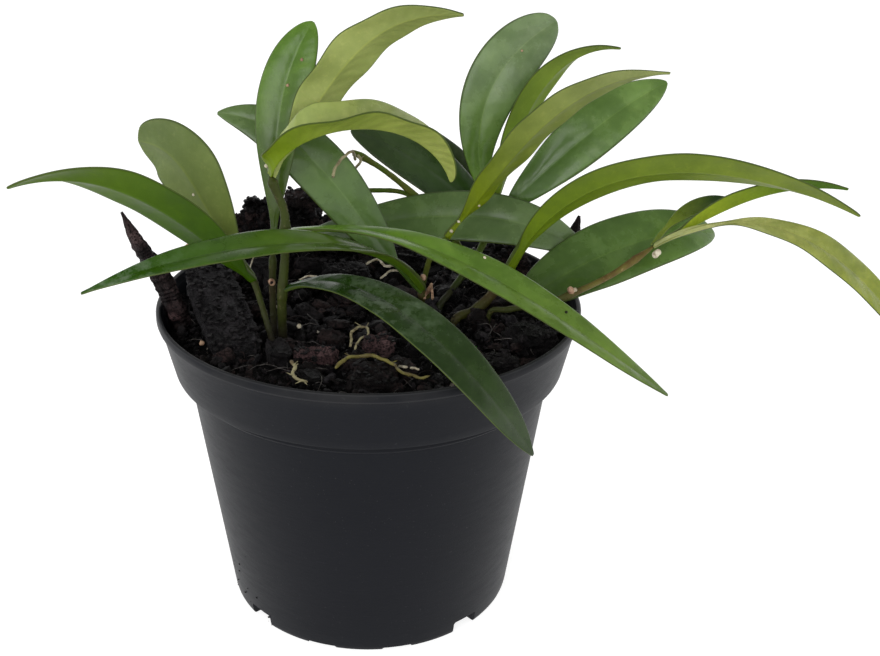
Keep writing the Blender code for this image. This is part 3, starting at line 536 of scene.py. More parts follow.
def leaf_upper():
    """The upper side: waxy, mottled in patches, with a dark margin line and pale patches, partly hard-water
    marks and partly painted sheen.
    """
    finish, tree, shader = new_finish(
        "leaf_upper", Specular_IOR_Level=0.32, Subsurface_Weight=0.06, Subsurface_Scale=0.0015,
        Subsurface_Radius=(0.5, 1.0, 0.2))
    across, along = leaf_across(tree)
    patches = grain(tree, 60.0, 6.0, 0.65)
    cells = grain(tree, 1300.0, 3.0)
    green = mottled(tree, own(tree, "tint", "Color"), patches, grain(tree, 260.0, 3.0, 0.5), cells, 0.62)
    rib = blend(tree, between(tree, across, 0.0, 0.05, 0.35, 0.0), green, (1.8, 1.6, 1.6), "MULTIPLY")
    edged = blend(tree, between(tree, across, 0.94, 0.99, 0.0, 0.5), rib, MARGIN)
    mark_and_sheen_patches = between(tree, grain(tree, 240.0, 8.0, 0.72), 0.44, 0.68)
    water_marks_and_sheen = calc(tree, "MULTIPLY", own(tree, "dust"), mark_and_sheen_patches)
    # pale grey-green patches: partly hard-water marks, partly painted sheen
    stained = blend(tree, water_marks_and_sheen, edged, (0.155, 0.205, 0.135))
    waxy = between(tree, patches, 0.3, 0.75, 0.20, 0.36)
    rough = calc(tree, "ADD", waxy, calc(tree, "MULTIPLY", water_marks_and_sheen, 0.3))
    swells = relief(tree, grain(tree, 55.0, 2.0), 0.35, 0.004)
    wear(tree, shader, stained, rough, leaf_relief(tree, across, along, 0.10, cells, swells))
    return finish


def leaf_underside():
    """The underside: paler and duller, with a raised midrib and fine freckles."""
    finish, tree, shader = new_finish(
        "leaf_underside", Specular_IOR_Level=0.12, Subsurface_Weight=0.10, Subsurface_Scale=0.0015,
        Subsurface_Radius=(0.6, 1.0, 0.2))
    across, along = leaf_across(tree)
    patches = grain(tree, 90.0, 5.0, 0.6)
    cells = grain(tree, 1300.0, 3.0)
    green = mottled(tree, own(tree, "tint", "Color"), patches, grain(tree, 700.0, 5.0, 0.65), cells, 0.35)
    rib = blend(tree, between(tree, across, 0.02, 0.10, 0.3, 0.0), green, (1.5, 1.4, 1.0), "MULTIPLY")
    edged = blend(tree, between(tree, across, 0.95, 0.99, 0.0, 0.45), rib, (0.010, 0.014, 0.005))
    wear(tree, shader, edged, between(tree, patches, 0.3, 0.75, 0.36, 0.5),
         leaf_relief(tree, across, along, 0.16, cells))
    return finish


def leaf_edge():
    """The thin rim between a leaf's two sides."""
    finish, tree, shader = new_finish("leaf_edge", Specular_IOR_Level=0.1)
    colour = blend(tree, grain(tree, 200.0), (0.034, 0.054, 0.010), (0.075, 0.105, 0.022))
    wear(tree, shader, colour, between(tree, grain(tree, 500.0), 0.3, 0.7, 0.35, 0.5))
    return finish


def stem_finish(name, young, old, joint, foot=0.9, inner=None):
    """A stem's skin: corky patches, pale lenticels and a foot that darkens towards the mix. inner is its
    colour near the foot.
    """
    finish, tree, shader = new_finish(name, Specular_IOR_Level=0.15)
    where = add(tree, "ShaderNodeSeparateXYZ", [("Vector", place(tree))])
    height = where.outputs["Z"]
    patches = grain(tree, 150.0, 5.0, 0.65, place(tree, (1.0, 1.0, 0.35)))
    lenticels = grain(tree, 900.0, 2.0)
    base = blend(tree, between(tree, patches, 0.38, 0.66), young, old)
    if inner:
        base = blend(tree, between(tree, where.outputs["X"], 0.048, 0.064, 1.0, 0.0), base, inner)
    spots = blend(tree, between(tree, lenticels, 0.62, 0.7, 0.0, 0.5), base, joint)
    # darker towards the mix at the foot
    stained = blend(tree, between(tree, height, 0.089, 0.103, foot, 0.0), spots, (0.008, 0.006, 0.004))
    bump = relief(tree, grain(tree, 1100.0, 4.0, 0.6), 0.4, 0.0004)
    wear(tree, shader, stained, between(tree, patches, 0.3, 0.7, 0.42, 0.65), bump)
    return finish


def bark_finish(name, dark, light, gloss, size=260.0, stretch=(1.0, 0.45, 1.6)):
    """Wet bark: layered fibres and flakes lightened partly as painted highlights, corky pits darkened nearly
    to black partly as painted shade, and a sheen where it is wet.
    """
    finish, tree, shader = new_finish(name, Specular_IOR_Level=0.13)
    fibres = grain(tree, size, 8.0, 0.68, place(tree, stretch))
    flakes = grain(tree, size * 0.32, 6.0, 0.6)
    pits = grain(tree, size * 4.0, 4.0, 0.7)
    base = blend(tree, between(tree, flakes, 0.40, 0.72, 0.0, 0.7), dark, light)
    # fibres lightened to the light colour: partly their own colour, partly painted highlights where they are
    # wet
    worn = blend(tree, between(tree, fibres, 0.54, 0.70, 0.0, 0.9), base, light)
    # pits darkened nearly to black: partly their own dark, partly painted shade
    deep = blend(tree, between(tree, pits, 0.54, 0.38, 0.0, 0.92), worn, (0.0012, 0.0010, 0.0010))
    bump = relief(tree, fibres, 0.9, 0.0022)
    bump = relief(tree, pits, 0.8, 0.0009, bump)
    wear(tree, shader, deep, between(tree, flakes, 0.35, 0.7, gloss, gloss + 0.35), bump)
    return finish


def root_finish(name, light, dark):
    """Live roots: dull, with brown corky lengths."""
    finish, tree, shader = new_finish(name, Specular_IOR_Level=0.3)
    colour = blend(tree, between(tree, grain(tree, 230.0, 5.0), 0.42, 0.66), light, dark)
    bump = relief(tree, grain(tree, 1400.0, 4.0), 0.5, 0.0003)
    wear(tree, shader, colour, between(tree, grain(tree, 500.0), 0.3, 0.7, 0.45, 0.7), bump)
    return finish


def pale_finish(name, light, dark):
    """Mineral grit, root stubs and cut ends: pale, dry and a little stained."""
    finish, tree, shader = new_finish(name)
    colour = blend(tree, between(tree, grain(tree, 600.0, 5.0), 0.4, 0.65), light, dark)
    bump = relief(tree, grain(tree, 1800.0, 4.0), 0.4, 0.0003)
    wear(tree, shader, colour, between(tree, grain(tree, 500.0), 0.3, 0.7, 0.5, 0.8), bump)
    return finish


# Curves

def through(points, share):
    """The point at this share of a cubic that passes four points at equal steps."""
    steps = (0.0, 1 / 3, 2 / 3, 1.0)
    found = Vector((0.0, 0.0, 0.0))
    for i, point in enumerate(points):
        weight = 1.0
        for j, other in enumerate(steps):
            if i != j:
                weight *= (share - other) / (steps[i] - other)
        found += weight * Vector(point)
    return found


def smooth_route(points, count):
    """Evenly numbered points on a Catmull-Rom curve through the given ones."""
    known = [Vector(p) for p in points]
    ends = [2 * known[0] - known[1], *known, 2 * known[-1] - known[-2]]
    spans = len(known) - 1
    found = []
    for i in range(count):
        along = i / (count - 1) * spans
        span = min(int(along), spans - 1)
        t = along - span
        a, b, c, d = ends[span : span + 4]
        found.append(
            0.5 * (2 * b + (c - a) * t + (2 * a - 5 * b + 4 * c - d) * t**2 + (3 * b - a - 3 * c + d) * t**3))
    return found


def ring_frames(route):
    """A matrix at each point of a route, with its Z along the route and no twist."""
    side = Vector((0.31, 0.95, 0.05))
    found = []
    for i, centre in enumerate(route):
        along = (route[min(i + 1, len(route) - 1)] - route[max(i - 1, 0)]).normalized()
        side = (side - side.dot(along) * along).normalized()
        other = along.cross(side)
        found.append(Matrix.Translation(centre) @ Matrix((side, other, along)).transposed().to_4x4())
    return found


def spread(values, share):
    """The value at a share of a short list of values at equal steps."""
    place_in = share * (len(values) - 1)
    low = min(int(place_in), len(values) - 2)
    return values[low] + (values[low + 1] - values[low]) * (place_in - low)


# Shapes

def grow_tube(shape, route, radii, sides):
    """Adds a closed tube that grows ring by ring along a route."""
    frames = ring_frames(route)
    rings = [matrix @ Matrix.Scale(radius, 4) for matrix, radius in zip(frames, radii, strict=True)]
    made = bmesh.ops.create_circle(shape, cap_ends=True, segments=sides, radius=1.0, matrix=rings[0])
    grown = list(made["verts"])
    cap = grown[0].link_faces[0]
    for before, after in zip(rings, rings[1:]):
        result = bmesh.ops.extrude_face_region(shape, geom=[cap])["geom"]
        verts = [item for item in result if isinstance(item, bmesh.types.BMVert)]
        cap = next(item for item in result if isinstance(item, bmesh.types.BMFace))
        bmesh.ops.transform(shape, matrix=after @ before.inverted(), verts=verts)
        grown += verts
    return grown


def as_mesh(name, shape):
    """A shape's mesh. The shape is used up."""
    mesh = bpy.data.meshes.new(name)
    shape.to_mesh(mesh)
    shape.free()
    return mesh


def put(name, data):
    """A new object in the scene."""
    made = bpy.data.objects.new(name, data)
    bpy.context.scene.collection.objects.link(made)
    return made


def finish_piece(name, shape, finishes, replaced=(), sharp=180, smoothing=0):
    """Turns a shape into a piece in metres that moves with the plant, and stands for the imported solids."""
    bmesh.ops.scale(shape, vec=(MM, MM, MM), verts=shape.verts)
    mesh = as_mesh(name, shape)
    for finish in finishes:
        mesh.materials.append(finish)
    mesh.shade_smooth()
    if sharp < 180:
        mesh.set_sharp_from_angle(angle=math.radians(sharp))
    piece = put(name, mesh)
    if smoothing:
        subdivision = piece.modifiers.new("smooth", "SUBSURF")
        subdivision.levels = smoothing
        subdivision.render_levels = smoothing
    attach(piece, BODY)
    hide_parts(*replaced)


def finish_pile(names, shapes, finishes):
    """Finishes several heaps of broken bark, each with its own finish."""
    for name, shape, finish in zip(names, shapes, finishes, strict=True):
        finish_piece(name, shape, [finish], sharp=35)


def half_width(leaf, share):
    """Half the blade's width at this share of the leaf's length, never thinner than its stalk and tip."""
    blade = min(max((share - leaf.petiole) / (1 - leaf.petiole), 0.0), 1.0)
    rise = max(leaf.taper * leaf.widest / (1 - leaf.widest), 0.3)
    peak = leaf.widest**rise * (1 - leaf.widest) ** leaf.taper
    wide = leaf.width / 2 * blade**rise * (1 - blade) ** leaf.taper / peak
    least = leaf.stalk * (1 - share) + TIP_HALF_WIDTH * share
    return (wide**3 + least**3) ** (1 / 3)


def facing(leaf, share):
    """The way that the upper side faces, turning smoothly from one given direction to the next."""
    turned = share * (len(leaf.faces) - 1)
    first = min(int(turned), len(leaf.faces) - 2)
    ease = turned - first
    ease = ease * ease * (3 - 2 * ease)
    return Vector(leaf.faces[first]).normalized().lerp(Vector(leaf.faces[first + 1]).normalized(), ease)


def stem_centre(name, point):
    """The nearest point to this one on a stem's centre line."""
    route = smooth_route(STEMS[name].route, 60)
    return min(route, key=lambda at: (at - Vector(point)).length)


def seated(leaf):
    """The leaf with its midrib started on its stem's centre line."""
    return leaf._replace(midrib=(stem_centre(leaf.on, leaf.midrib[0]), *leaf.midrib[1:]))


def blade_point(leaf, share, across, upper):
    """A point of the leaf's skin: folded along its midrib, crowned, grooved above and keeled below."""
    centre = through(leaf.midrib, share)
    along = (through(leaf.midrib, share + 0.01) - through(leaf.midrib, share - 0.01)).normalized()
    towards = facing(leaf, share)
    up = (towards - towards.dot(along) * along).normalized()
    side = along.cross(up)
    half = half_width(leaf, share)
    fold = math.radians(leaf.fold)
    reach = abs(across)
    blade = min(1.0, max(0.0, (half - 1.2) / 2.5))
    ripple = leaf.wave * reach**2 * math.sin(2 * math.pi * leaf.waves * share + across) * (1 - share) * 1.5
    sway = 0.45 * blade * noise.noise(Vector((centre.x * 0.05 + across * 0.7, centre.y * 0.05, share * 5.0)))
    crown = 0.05 * half * blade * (1 - (2 * reach - 1) ** 2)
    middle = centre + side * across * half * math.cos(fold)
    middle += up * (reach * half * math.sin(fold) + ripple + crown + sway * reach)
    thin = min(1.0, 4 * (1 - share) + 0.2)
    thick = MARGIN_THICK + (LEAF_THICK - MARGIN_THICK) * (1 - reach) * thin
    stalk = 1.7 * leaf.stalk * (1 - blade) * (1 - share)
    thick = max(thick, stalk * (1 - 0.3 * reach))
    rib = math.exp(-((across * half / RIB_HALF_WIDTH) ** 2)) * blade * thin
    if upper:
        return middle + up * (thick / 2 - GROOVE * rib)
    return middle - up * (thick / 2 + KEEL * rib)


def grade(first, second, share):
    """A colour part of the way from the first to the second."""
    return tuple(a + (b - a) * share for a, b in zip(first, second, strict=True))


def make_leaf(name, leaf, finishes):
    """A flat slab bent into the blade and its stalk, with its greens and dust kept on its points; on some
    leaves these hold painted sheen and painted shade.
    """
    tone = TONES[name]
    leaf = seated(leaf)
    shape = bmesh.new()
    bmesh.ops.create_grid(shape, x_segments=BLADE_ACROSS, y_segments=BLADE_ALONG, size=1.0)
    bmesh.ops.solidify(shape, geom=shape.faces[:], thickness=0.1)
    bmesh.ops.recalc_face_normals(shape, faces=shape.faces)
    uv = shape.loops.layers.uv.new("blade")
    for face in shape.faces:
        face.material_index = 0 if face.normal.z > 0.5 else 1 if face.normal.z < -0.5 else 2
        for loop in face.loops:
            loop[uv].uv = (loop.vert.co.x / 2 + 0.5, loop.vert.co.y / 2 + 0.5)
    tint = shape.verts.layers.float_color.new("tint")
    young = shape.verts.layers.float.new("young")
    dust = shape.verts.layers.float.new("dust")
    heights = [vert.co.z for vert in shape.verts]
    middle = (min(heights) + max(heights)) / 2
    for vert in shape.verts:
        step = vert.co.y / 2 + 0.5
        share = step - 0.05 * math.sin(2 * math.pi * step)
        across = vert.co.x * (0.55 + 0.45 * abs(vert.co.x))
        upper = vert.co.z > middle
        greens = (tone.upper, tone.upper_tip) if upper else (tone.under, tone.under_tip)
        vert[tint] = (*grade(*greens, min(1.0, max(0.0, share * 1.5 - 0.3))), 1.0)
        vert[young] = tone.young
        # dust on the upper side: partly hard-water marks, partly painted sheen
        vert[dust] = tone.dust * math.exp(-(((share - tone.dust_at) / DUST_AND_SHEEN_SPREAD) ** 2))
        vert.co = blade_point(leaf, share, across, upper)
    bmesh.ops.recalc_face_normals(shape, faces=shape.faces)
    finish_piece(f"blade_{name[5:]}", shape, finishes, [name], smoothing=1)


def make_stem(name, finish):
    """A stem with swollen nodes and a slightly uneven skin."""
    stem = STEMS[name]
    count = STEM_RINGS * len(stem.route)
    points = stem.route
    if stem.on:
        points = (stem_centre(stem.on, points[0]), *points[1:])
    route = smooth_route(points, count)
    radii = []
    for i in range(count):
        share = i / (count - 1)
        radius = stem.start + (stem.end - stem.start) * share
        for on, where, swell in NODES:
            if on == name:
                radius *= 1 + swell * math.exp(-(((share - where) * len(stem.route) / 0.35) ** 2))
        end = max(0.0, (share - 0.92) / 0.08)
        radii.append(radius * (1 + 0.08 * noise.noise(route[i] * 0.6)) * (1 - 0.6 * end * end))
    shape = bmesh.new()
    verts = grow_tube(shape, route, radii, STEM_SIDES)
    for vert in verts:
        vert.co += 0.09 * noise.noise(vert.co * 1.3) * Vector((1, 1, 0))
    bmesh.ops.recalc_face_normals(shape, faces=shape.faces)
    finish_piece(f"skin_{name}", shape, [finish], [name], sharp=60)


def pot_slope():
    """How much the pot's body widens for each millimetre of height."""
    return (BODY_TOP_RADIUS - BASE_RADIUS) / BAND_BOTTOM


def band_slope():
    """How much the rim band widens for each millimetre of height."""
    return (BAND_TOP_RADIUS - BAND_BOTTOM_RADIUS) / (BAND_TOP - BAND_BOTTOM - 0.5)


def pot_profile():
    """Radius and height pairs, up the outside, over the lip and down the inside to the floor."""
    slope = pot_slope()

    def body(height):
        """The wall's outer radius at this height."""
        return BASE_RADIUS + slope * height

    lip = [
        (BAND_TOP_RADIUS, BAND_TOP - 0.3),
        (LIP_RADIUS - 0.15, POT_HEIGHT - 2.45),
        (LIP_RADIUS, POT_HEIGHT - 2.0),
        (LIP_RADIUS, POT_HEIGHT - 0.6),
        (LIP_RADIUS - 0.2, POT_HEIGHT - 0.15),
        (LIP_RADIUS - 0.6, POT_HEIGHT),
        (LIP_RADIUS - LIP_WIDTH + 0.5, POT_HEIGHT),
        (LIP_RADIUS - LIP_WIDTH + 0.1, POT_HEIGHT - 0.25),
        (LIP_RADIUS - LIP_WIDTH - 0.1, POT_HEIGHT - 0.9),
        (BAND_TOP_RADIUS - WALL, BAND_TOP),
    ]
    foot = [(0.0, 0.0), (BASE_RADIUS - 1.0, 0.0), (BASE_RADIUS - 0.4, 0.12), (BASE_RADIUS, 0.7)]
    wall = [(body(height), height) for height in (1.6, 6, 12, 20, 30, 40, 50, 60, 68, RIDGE_HEIGHT - 0.8)]
    ridge = [
        (body(RIDGE_HEIGHT) + 0.32, RIDGE_HEIGHT - 0.35),
        (body(RIDGE_HEIGHT) + 0.42, RIDGE_HEIGHT),
        (body(RIDGE_HEIGHT) + 0.32, RIDGE_HEIGHT + 0.35),
        (body(RIDGE_HEIGHT + 0.8), RIDGE_HEIGHT + 0.8),
        (body(BAND_BOTTOM - 0.5), BAND_BOTTOM - 0.5),
    ]
    step = [
        (BAND_BOTTOM_RADIUS - 0.9, BAND_BOTTOM),
        (BAND_BOTTOM_RADIUS - 0.25, BAND_BOTTOM + 0.15),
        (BAND_BOTTOM_RADIUS, BAND_BOTTOM + 0.7),
    ]
    wide_band = [
        (BAND_BOTTOM_RADIUS + band_slope() * height, BAND_BOTTOM + 0.7 + height) for height in (2, 5, 9, 13)
    ]
    inside = [
        (BAND_BOTTOM_RADIUS - WALL - 0.2, BAND_BOTTOM + 0.9),
        (BODY_TOP_RADIUS - WALL, BAND_BOTTOM - 0.9),
        (body(FLOOR + 1.0) - WALL, FLOOR + 1.0),
        (body(FLOOR) - WALL - 0.8, FLOOR),
        (0.0, FLOOR),
    ]
    return foot + wall + ridge + step + wide_band + lip + inside


def spun(profile, steps):
    """A closed shape turned round the upright axis from a profile that starts and ends on it."""
    shape = bmesh.new()
    verts = [shape.verts.new((radius, 0.0, height)) for radius, height in profile]
    edges = [shape.edges.new(pair) for pair in zip(verts, verts[1:])]
    bmesh.ops.spin(
        shape, geom=verts + edges, cent=(0, 0, 0), axis=(0, 0, 1), angle=2 * math.pi, steps=steps,
        use_merge=True)
    bmesh.ops.remove_doubles(shape, verts=shape.verts, dist=1e-4)
    bmesh.ops.recalc_face_normals(shape, faces=shape.faces)
    return shape


def notch_cutters():
    """Rounded blocks across the pot's foot. Every third is tall enough to open the floor's corner."""
    shape = bmesh.new()
    for index in range(NOTCHES):
        deep = index % DEEP_EVERY == 0
        height = DEEP_NOTCH if deep else SHALLOW_NOTCH
        inner = BASE_RADIUS - (7.0 if deep else 4.5)
        outer = BASE_RADIUS + 3.0
        turn = Matrix.Rotation(math.radians(-90 + NOTCH_PHASE + index * 360 / NOTCHES), 4, "Z")
        size = Matrix.Diagonal((outer - inner, NOTCH_WIDTH, 2 * height, 1.0))
        shift = Matrix.Translation(((outer + inner) / 2, 0.0, 0.0))
        made = bmesh.ops.create_cube(shape, size=1.0, matrix=turn @ shift @ size)
        edges = list({edge for vert in made["verts"] for edge in vert.link_edges})
        back = turn.inverted().to_3x3()
        lengthwise = [edge for edge in edges if abs((back @ (edge.verts[0].co - edge.verts[1].co)).x) > 1.0]
        bmesh.ops.bevel(
            shape, geom=lengthwise, offset=min(0.8, height * 0.5), segments=3, profile=0.5, affect="EDGES",
            material=-1)
    return put("notch_cutters", as_mesh("notch_cutters", shape))


def make_pot(plastic):
    """The pot: a fine turned wall with its foot notched."""
    blank = put("pot_blank", as_mesh("pot_blank", spun(pot_profile(), POT_STEPS)))
    cutter = notch_cutters()
    cut = blank.modifiers.new("notches", "BOOLEAN")
    cut.operation = "DIFFERENCE"
    cut.solver = "EXACT"
    cut.object = cutter
    result = bpy.data.meshes.new_from_object(blank.evaluated_get(bpy.context.evaluated_depsgraph_get()))
    shape = bmesh.new()
    shape.from_mesh(result)
    for helper in (blank, cutter):
        bpy.data.objects.remove(helper, do_unlink=True)
    finish_piece("pot_shell", shape, [plastic], ["pot"], sharp=35)


def soil_height(x, y):
    """Height of the mix's surface: nearly level, with a heap at the back left."""
    reach = math.hypot(x, y)
    inside = max(0.0, 1 - (reach / SOIL_RADIUS) ** 6)
    near = math.hypot(x - HEAP_CENTRE[0], y - HEAP_CENTRE[1])
    heap = HEAP_HEIGHT * math.exp(-((near / HEAP_SPREAD) ** 2))
    rough = 0.9 * math.sin(0.42 * x + 1.3) * math.cos(0.37 * y) + 0.6 * math.sin(0.9 * x - 0.8 * y)
    return SOIL_EDGE + inside * (0.6 + heap + rough)


def inner_radius(height):
    """The pot's inner radius at this height of the rim band."""
    return BAND_BOTTOM_RADIUS - WALL - 0.2 + band_slope() * (height - BAND_BOTTOM - 0.9)


def make_bed(finish):
    """The fine mix between the chips: a filled core with a rough top."""
    gap = 0.3
    slope = pot_slope()
    edge = inner_radius(SOIL_EDGE - BED_SINK) - gap
    side = [
        (0.0, FLOOR + gap),
        (BASE_RADIUS + slope * FLOOR - WALL - 1.4, FLOOR + gap),
        (BASE_RADIUS + slope * (FLOOR + 2) - WALL - gap, FLOOR + 2.0),
        (BODY_TOP_RADIUS - WALL - gap, BAND_BOTTOM - 1.2),
        (BAND_BOTTOM_RADIUS - WALL - 0.2 - gap, BAND_BOTTOM + 1.2),
    ]
    top = [(edge * (1 - i / BED_RINGS), SOIL_EDGE - BED_SINK) for i in range(BED_RINGS + 1)]
    shape = spun(side + top, BED_STEPS)
    for vert in shape.verts:
        if vert.co.z > SOIL_EDGE - BED_SINK - 0.1:
            inside = 1 - (vert.co.xy.length / edge) ** 8
            bumps = noise.turbulence(vert.co * 0.23, 4, False) * 2.2 + noise.noise(vert.co * 0.9) * 0.5
            vert.co.z = soil_height(vert.co.x, vert.co.y) - BED_SINK + inside * (bumps - 0.6)
    finish_piece("fine_mix", shape, [finish], ["substrate"])


def take_in(shape, small):
    """Adds a small shape to a large one."""
    mesh = as_mesh("small", small)
    shape.from_mesh(mesh)
    bpy.data.meshes.remove(mesh)


def worn_chip(shape, centre, half, turn, seed, level):
    """Adds a chip of bark: a block worn from a ball, split in layers, dented and pitted."""
    rotation = Euler([math.radians(angle) for angle in turn]).to_matrix()
    away = Vector((seed * 7.3, 0.0, 0.0))
    least = min(half)
    chip = bmesh.new()
    bmesh.ops.create_icosphere(chip, subdivisions=level, radius=1.0)
    for vert in chip.verts:
        out = vert.co.normalized()
        local = Vector([math.copysign(abs(c) ** 0.5, c) * h * 0.93 for c, h in zip(out, half, strict=True)])
        at = local / least
        dents = noise.noise(at * 1.2 + away) * 0.30
        layers = abs(noise.noise(Vector((at.x * 0.45, at.y * 0.45, at.z * 3.6)) + away)) * 0.26
        pits = noise.noise(at * 4.5 + away) * 0.13
        steps = noise.cell(at * 1.3 + away) * 0.07
        grit = noise.turbulence(local * 0.9 + away, 2, True) * 0.34 if level > 3 else 0.0
        local += out * (least * (dents - layers + pits + steps) - grit)
        vert.co = rotation @ local + Vector(centre)
    bmesh.ops.recalc_face_normals(chip, faces=chip.faces)
    take_in(shape, chip)


def ground(x, y):
    """Height of the fine mix between the chips."""
    return soil_height(x, y) - BED_SINK


def tumble(draw, most):
    """A seeded turn about X, Y and Z in degrees."""
    return draw.uniform(-most, most), draw.uniform(-most, most), draw.uniform(0, 180)


def make_chunks(finishes):
    """The coarse bark of the mix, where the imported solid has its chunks."""
    draw = random.Random(21)
    for part, name in enumerate(("chunks_dark", "chunks_brown")):
        shape = bmesh.new()
        for index in range(CHUNKS):
            reach = CHUNK_REACH * math.sqrt((index + 0.5) / CHUNKS)
            turn = index * math.radians(CHUNK_TURN)
            x = reach * math.cos(turn)
            y = reach * math.sin(turn)
            half = (draw.uniform(3.2, 6.0), draw.uniform(2.4, 3.8), draw.uniform(1.8, 3.0))
            tilt = tumble(draw, 25)
            if index % 2 == part:
                worn_chip(shape, (x, y, soil_height(x, y) + 0.2), half, tilt, index, 4)
        finish_piece(name, shape, [finishes[part]], sharp=35)


def scatter(draw, count, largest):
    """Seeded places over the pot's mouth, clear of its wall."""
    for _ in range(count):
        reach = (inner_radius(SOIL_EDGE) - 0.6 - largest) * math.sqrt(draw.random())
        turn = draw.uniform(0, 2 * math.pi)
        yield reach * math.cos(turn), reach * math.sin(turn)


def make_shards(finishes):
    """Medium splinters of bark, piled in the gaps between the chunks."""
    draw = random.Random(5)
    shapes = [bmesh.new() for _ in finishes]
    for index, (x, y) in enumerate(scatter(draw, SHARDS, 2.5)):
        size = draw.uniform(0.9, 2.7)
        half = (size * draw.uniform(0.9, 1.8), size * draw.uniform(0.45, 0.9), size * draw.uniform(0.3, 0.7))
        tilt = tumble(draw, 40)
        height = ground(x, y) + draw.uniform(0.2, 3.0)
        worn_chip(shapes[index % len(finishes)], (x, y, height), half, tilt, index, 3 if size > 1.6 else 2)
    finish_pile(("shards_dark", "shards_brown", "shards_grey"), shapes, finishes)


def make_crumbs(finish, pale):
    """Small crumbs of bark and peat, with a few pale grains."""
    draw = random.Random(8)
    shape = bmesh.new()
    light = bmesh.new()
    for index, (x, y) in enumerate(scatter(draw, CRUMBS, 0.8)):
        size = 0.2 + 0.65 * draw.random() ** 2
        target = light if index % PALE_EVERY == 0 else shape
        stretch = Matrix.Diagonal((size * draw.uniform(0.8, 1.5), size, size * draw.uniform(0.6, 1.0), 1.0))
        turn = Euler((draw.uniform(0, 3), draw.uniform(0, 3), draw.uniform(0, 3))).to_matrix().to_4x4()
        height = ground(x, y) + draw.uniform(0.6, 3.0)
        matrix = Matrix.Translation((x, y, height)) @ turn @ stretch
        crumb = bmesh.new()
        bmesh.ops.create_icosphere(crumb, subdivisions=1, radius=1.0, matrix=matrix)
        for vert in crumb.verts:
            vert.co += size * 0.5 * noise.noise_vector(vert.co * 1.7)
        take_in(target, crumb)
    finish_piece("crumbs", shape, [finish], sharp=30)
    finish_piece("pale_grains", light, [pale], sharp=30)


def held_inside(at, clear):
    """The point, moved in towards the pot's axis where it would reach into the wall."""
    reach = math.hypot(at[0], at[1])
    limit = LIP_RADIUS - 2 * LIP_WIDTH - 1.0 - clear
    share = min(1.0, limit / max(reach, 0.1))
    return Vector((at[0] * share, at[1] * share, at[2]))


def make_heaps(finishes):
    """Crumbs and splinters heaped against the tall bark at the back."""
    draw = random.Random(31)
    shapes = [bmesh.new() for _ in finishes]
    for centre, spans, count in HEAPS:
        for index in range(count):
            high = draw.random() ** 1.5
            x = centre[0] + spans[0] * draw.uniform(-1, 1) * (1 - 0.55 * high)
            y = centre[1] + spans[1] * draw.uniform(-1, 1) * (1 - 0.55 * high)
            size = draw.uniform(0.8, 1.9) * (1 - 0.45 * high)
            half = (size * draw.uniform(0.8, 1.6), size, size * draw.uniform(0.5, 0.9))
            turn = tumble(draw, 60)
            at = held_inside((x, y, centre[2] + spans[2] * high), 1.6 * size)
            worn_chip(shapes[index % 2], at, half, turn, index, 2)
    finish_pile(("heap_dark", "heap_brown"), shapes, finishes)


def make_fibres(name, finish, seed, thinnest, thickest):
    """Thin torn fibres or dead rootlets that lie on the mix."""
    draw = random.Random(seed)
    shape = bmesh.new()
    for x, y in scatter(draw, FIBRES, 4.0):
        length = draw.uniform(3, 10)
        turn = draw.uniform(0, 2 * math.pi)
        bend = draw.uniform(-1.2, 1.2)
        height = soil_height(x, y) + draw.uniform(-0.4, 1.4)
        lift = draw.uniform(0.2, 1.2)
        route = []
        for step in range(FIBRE_STEPS + 1):
            share = step / FIBRE_STEPS - 0.5
            heading = turn + bend * share
            rise = lift * math.cos(math.pi * share) + 0.35 * noise.noise(Vector((x, y, share * 4)))
            out = length * share
            route.append(Vector((x + out * math.cos(heading), y + out * math.sin(heading), height + rise)))
        thick = draw.uniform(thinnest, thickest)
        radii = [thick * (1 - abs(2 * step / FIBRE_STEPS - 1) * 0.6) for step in range(FIBRE_STEPS + 1)]
        fibre = bmesh.new()
        grow_tube(fibre, route, radii, 5)
        bmesh.ops.recalc_face_normals(fibre, faces=fibre.faces)
        take_in(shape, fibre)
    finish_piece(name, shape, [finish])


def make_bark(name, bark, finish):
    """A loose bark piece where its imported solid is."""
    shape = bmesh.new()
    worn_chip(shape, bark.centre, bark.half, bark.turn, bark.seed, 6)
    finish_piece(f"worn_{name}", shape, [finish], [name])


def make_splinter(name, route, radii, seed, finish):
    """A pointed splinter of wood with grooves along it."""
    smooth = smooth_route(route, SPLINTER_RINGS)
    thick = [spread(radii, i / (SPLINTER_RINGS - 1)) for i in range(SPLINTER_RINGS)]
    shape = bmesh.new()
    verts = grow_tube(shape, smooth, thick, SPLINTER_SIDES)
    for index, vert in enumerate(verts):
        ring = index // SPLINTER_SIDES
        around = 2 * math.pi * (index % SPLINTER_SIDES) / SPLINTER_SIDES
        out = vert.co - smooth[ring]
        groove = noise.noise(Vector((math.cos(around) * 2.2 + seed, math.sin(around) * 2.2, ring * 0.05)))
        chip = noise.noise(vert.co * 0.7 + Vector((seed, 0, 0)))
        flat = 1 - 0.25 * abs(math.sin(around))
        vert.co = smooth[ring] + out * flat * (1 + 0.42 * groove + 0.22 * chip)
    bmesh.ops.recalc_face_normals(shape, faces=shape.faces)
    finish_piece(f"worn_{name}", shape, [finish], [name])


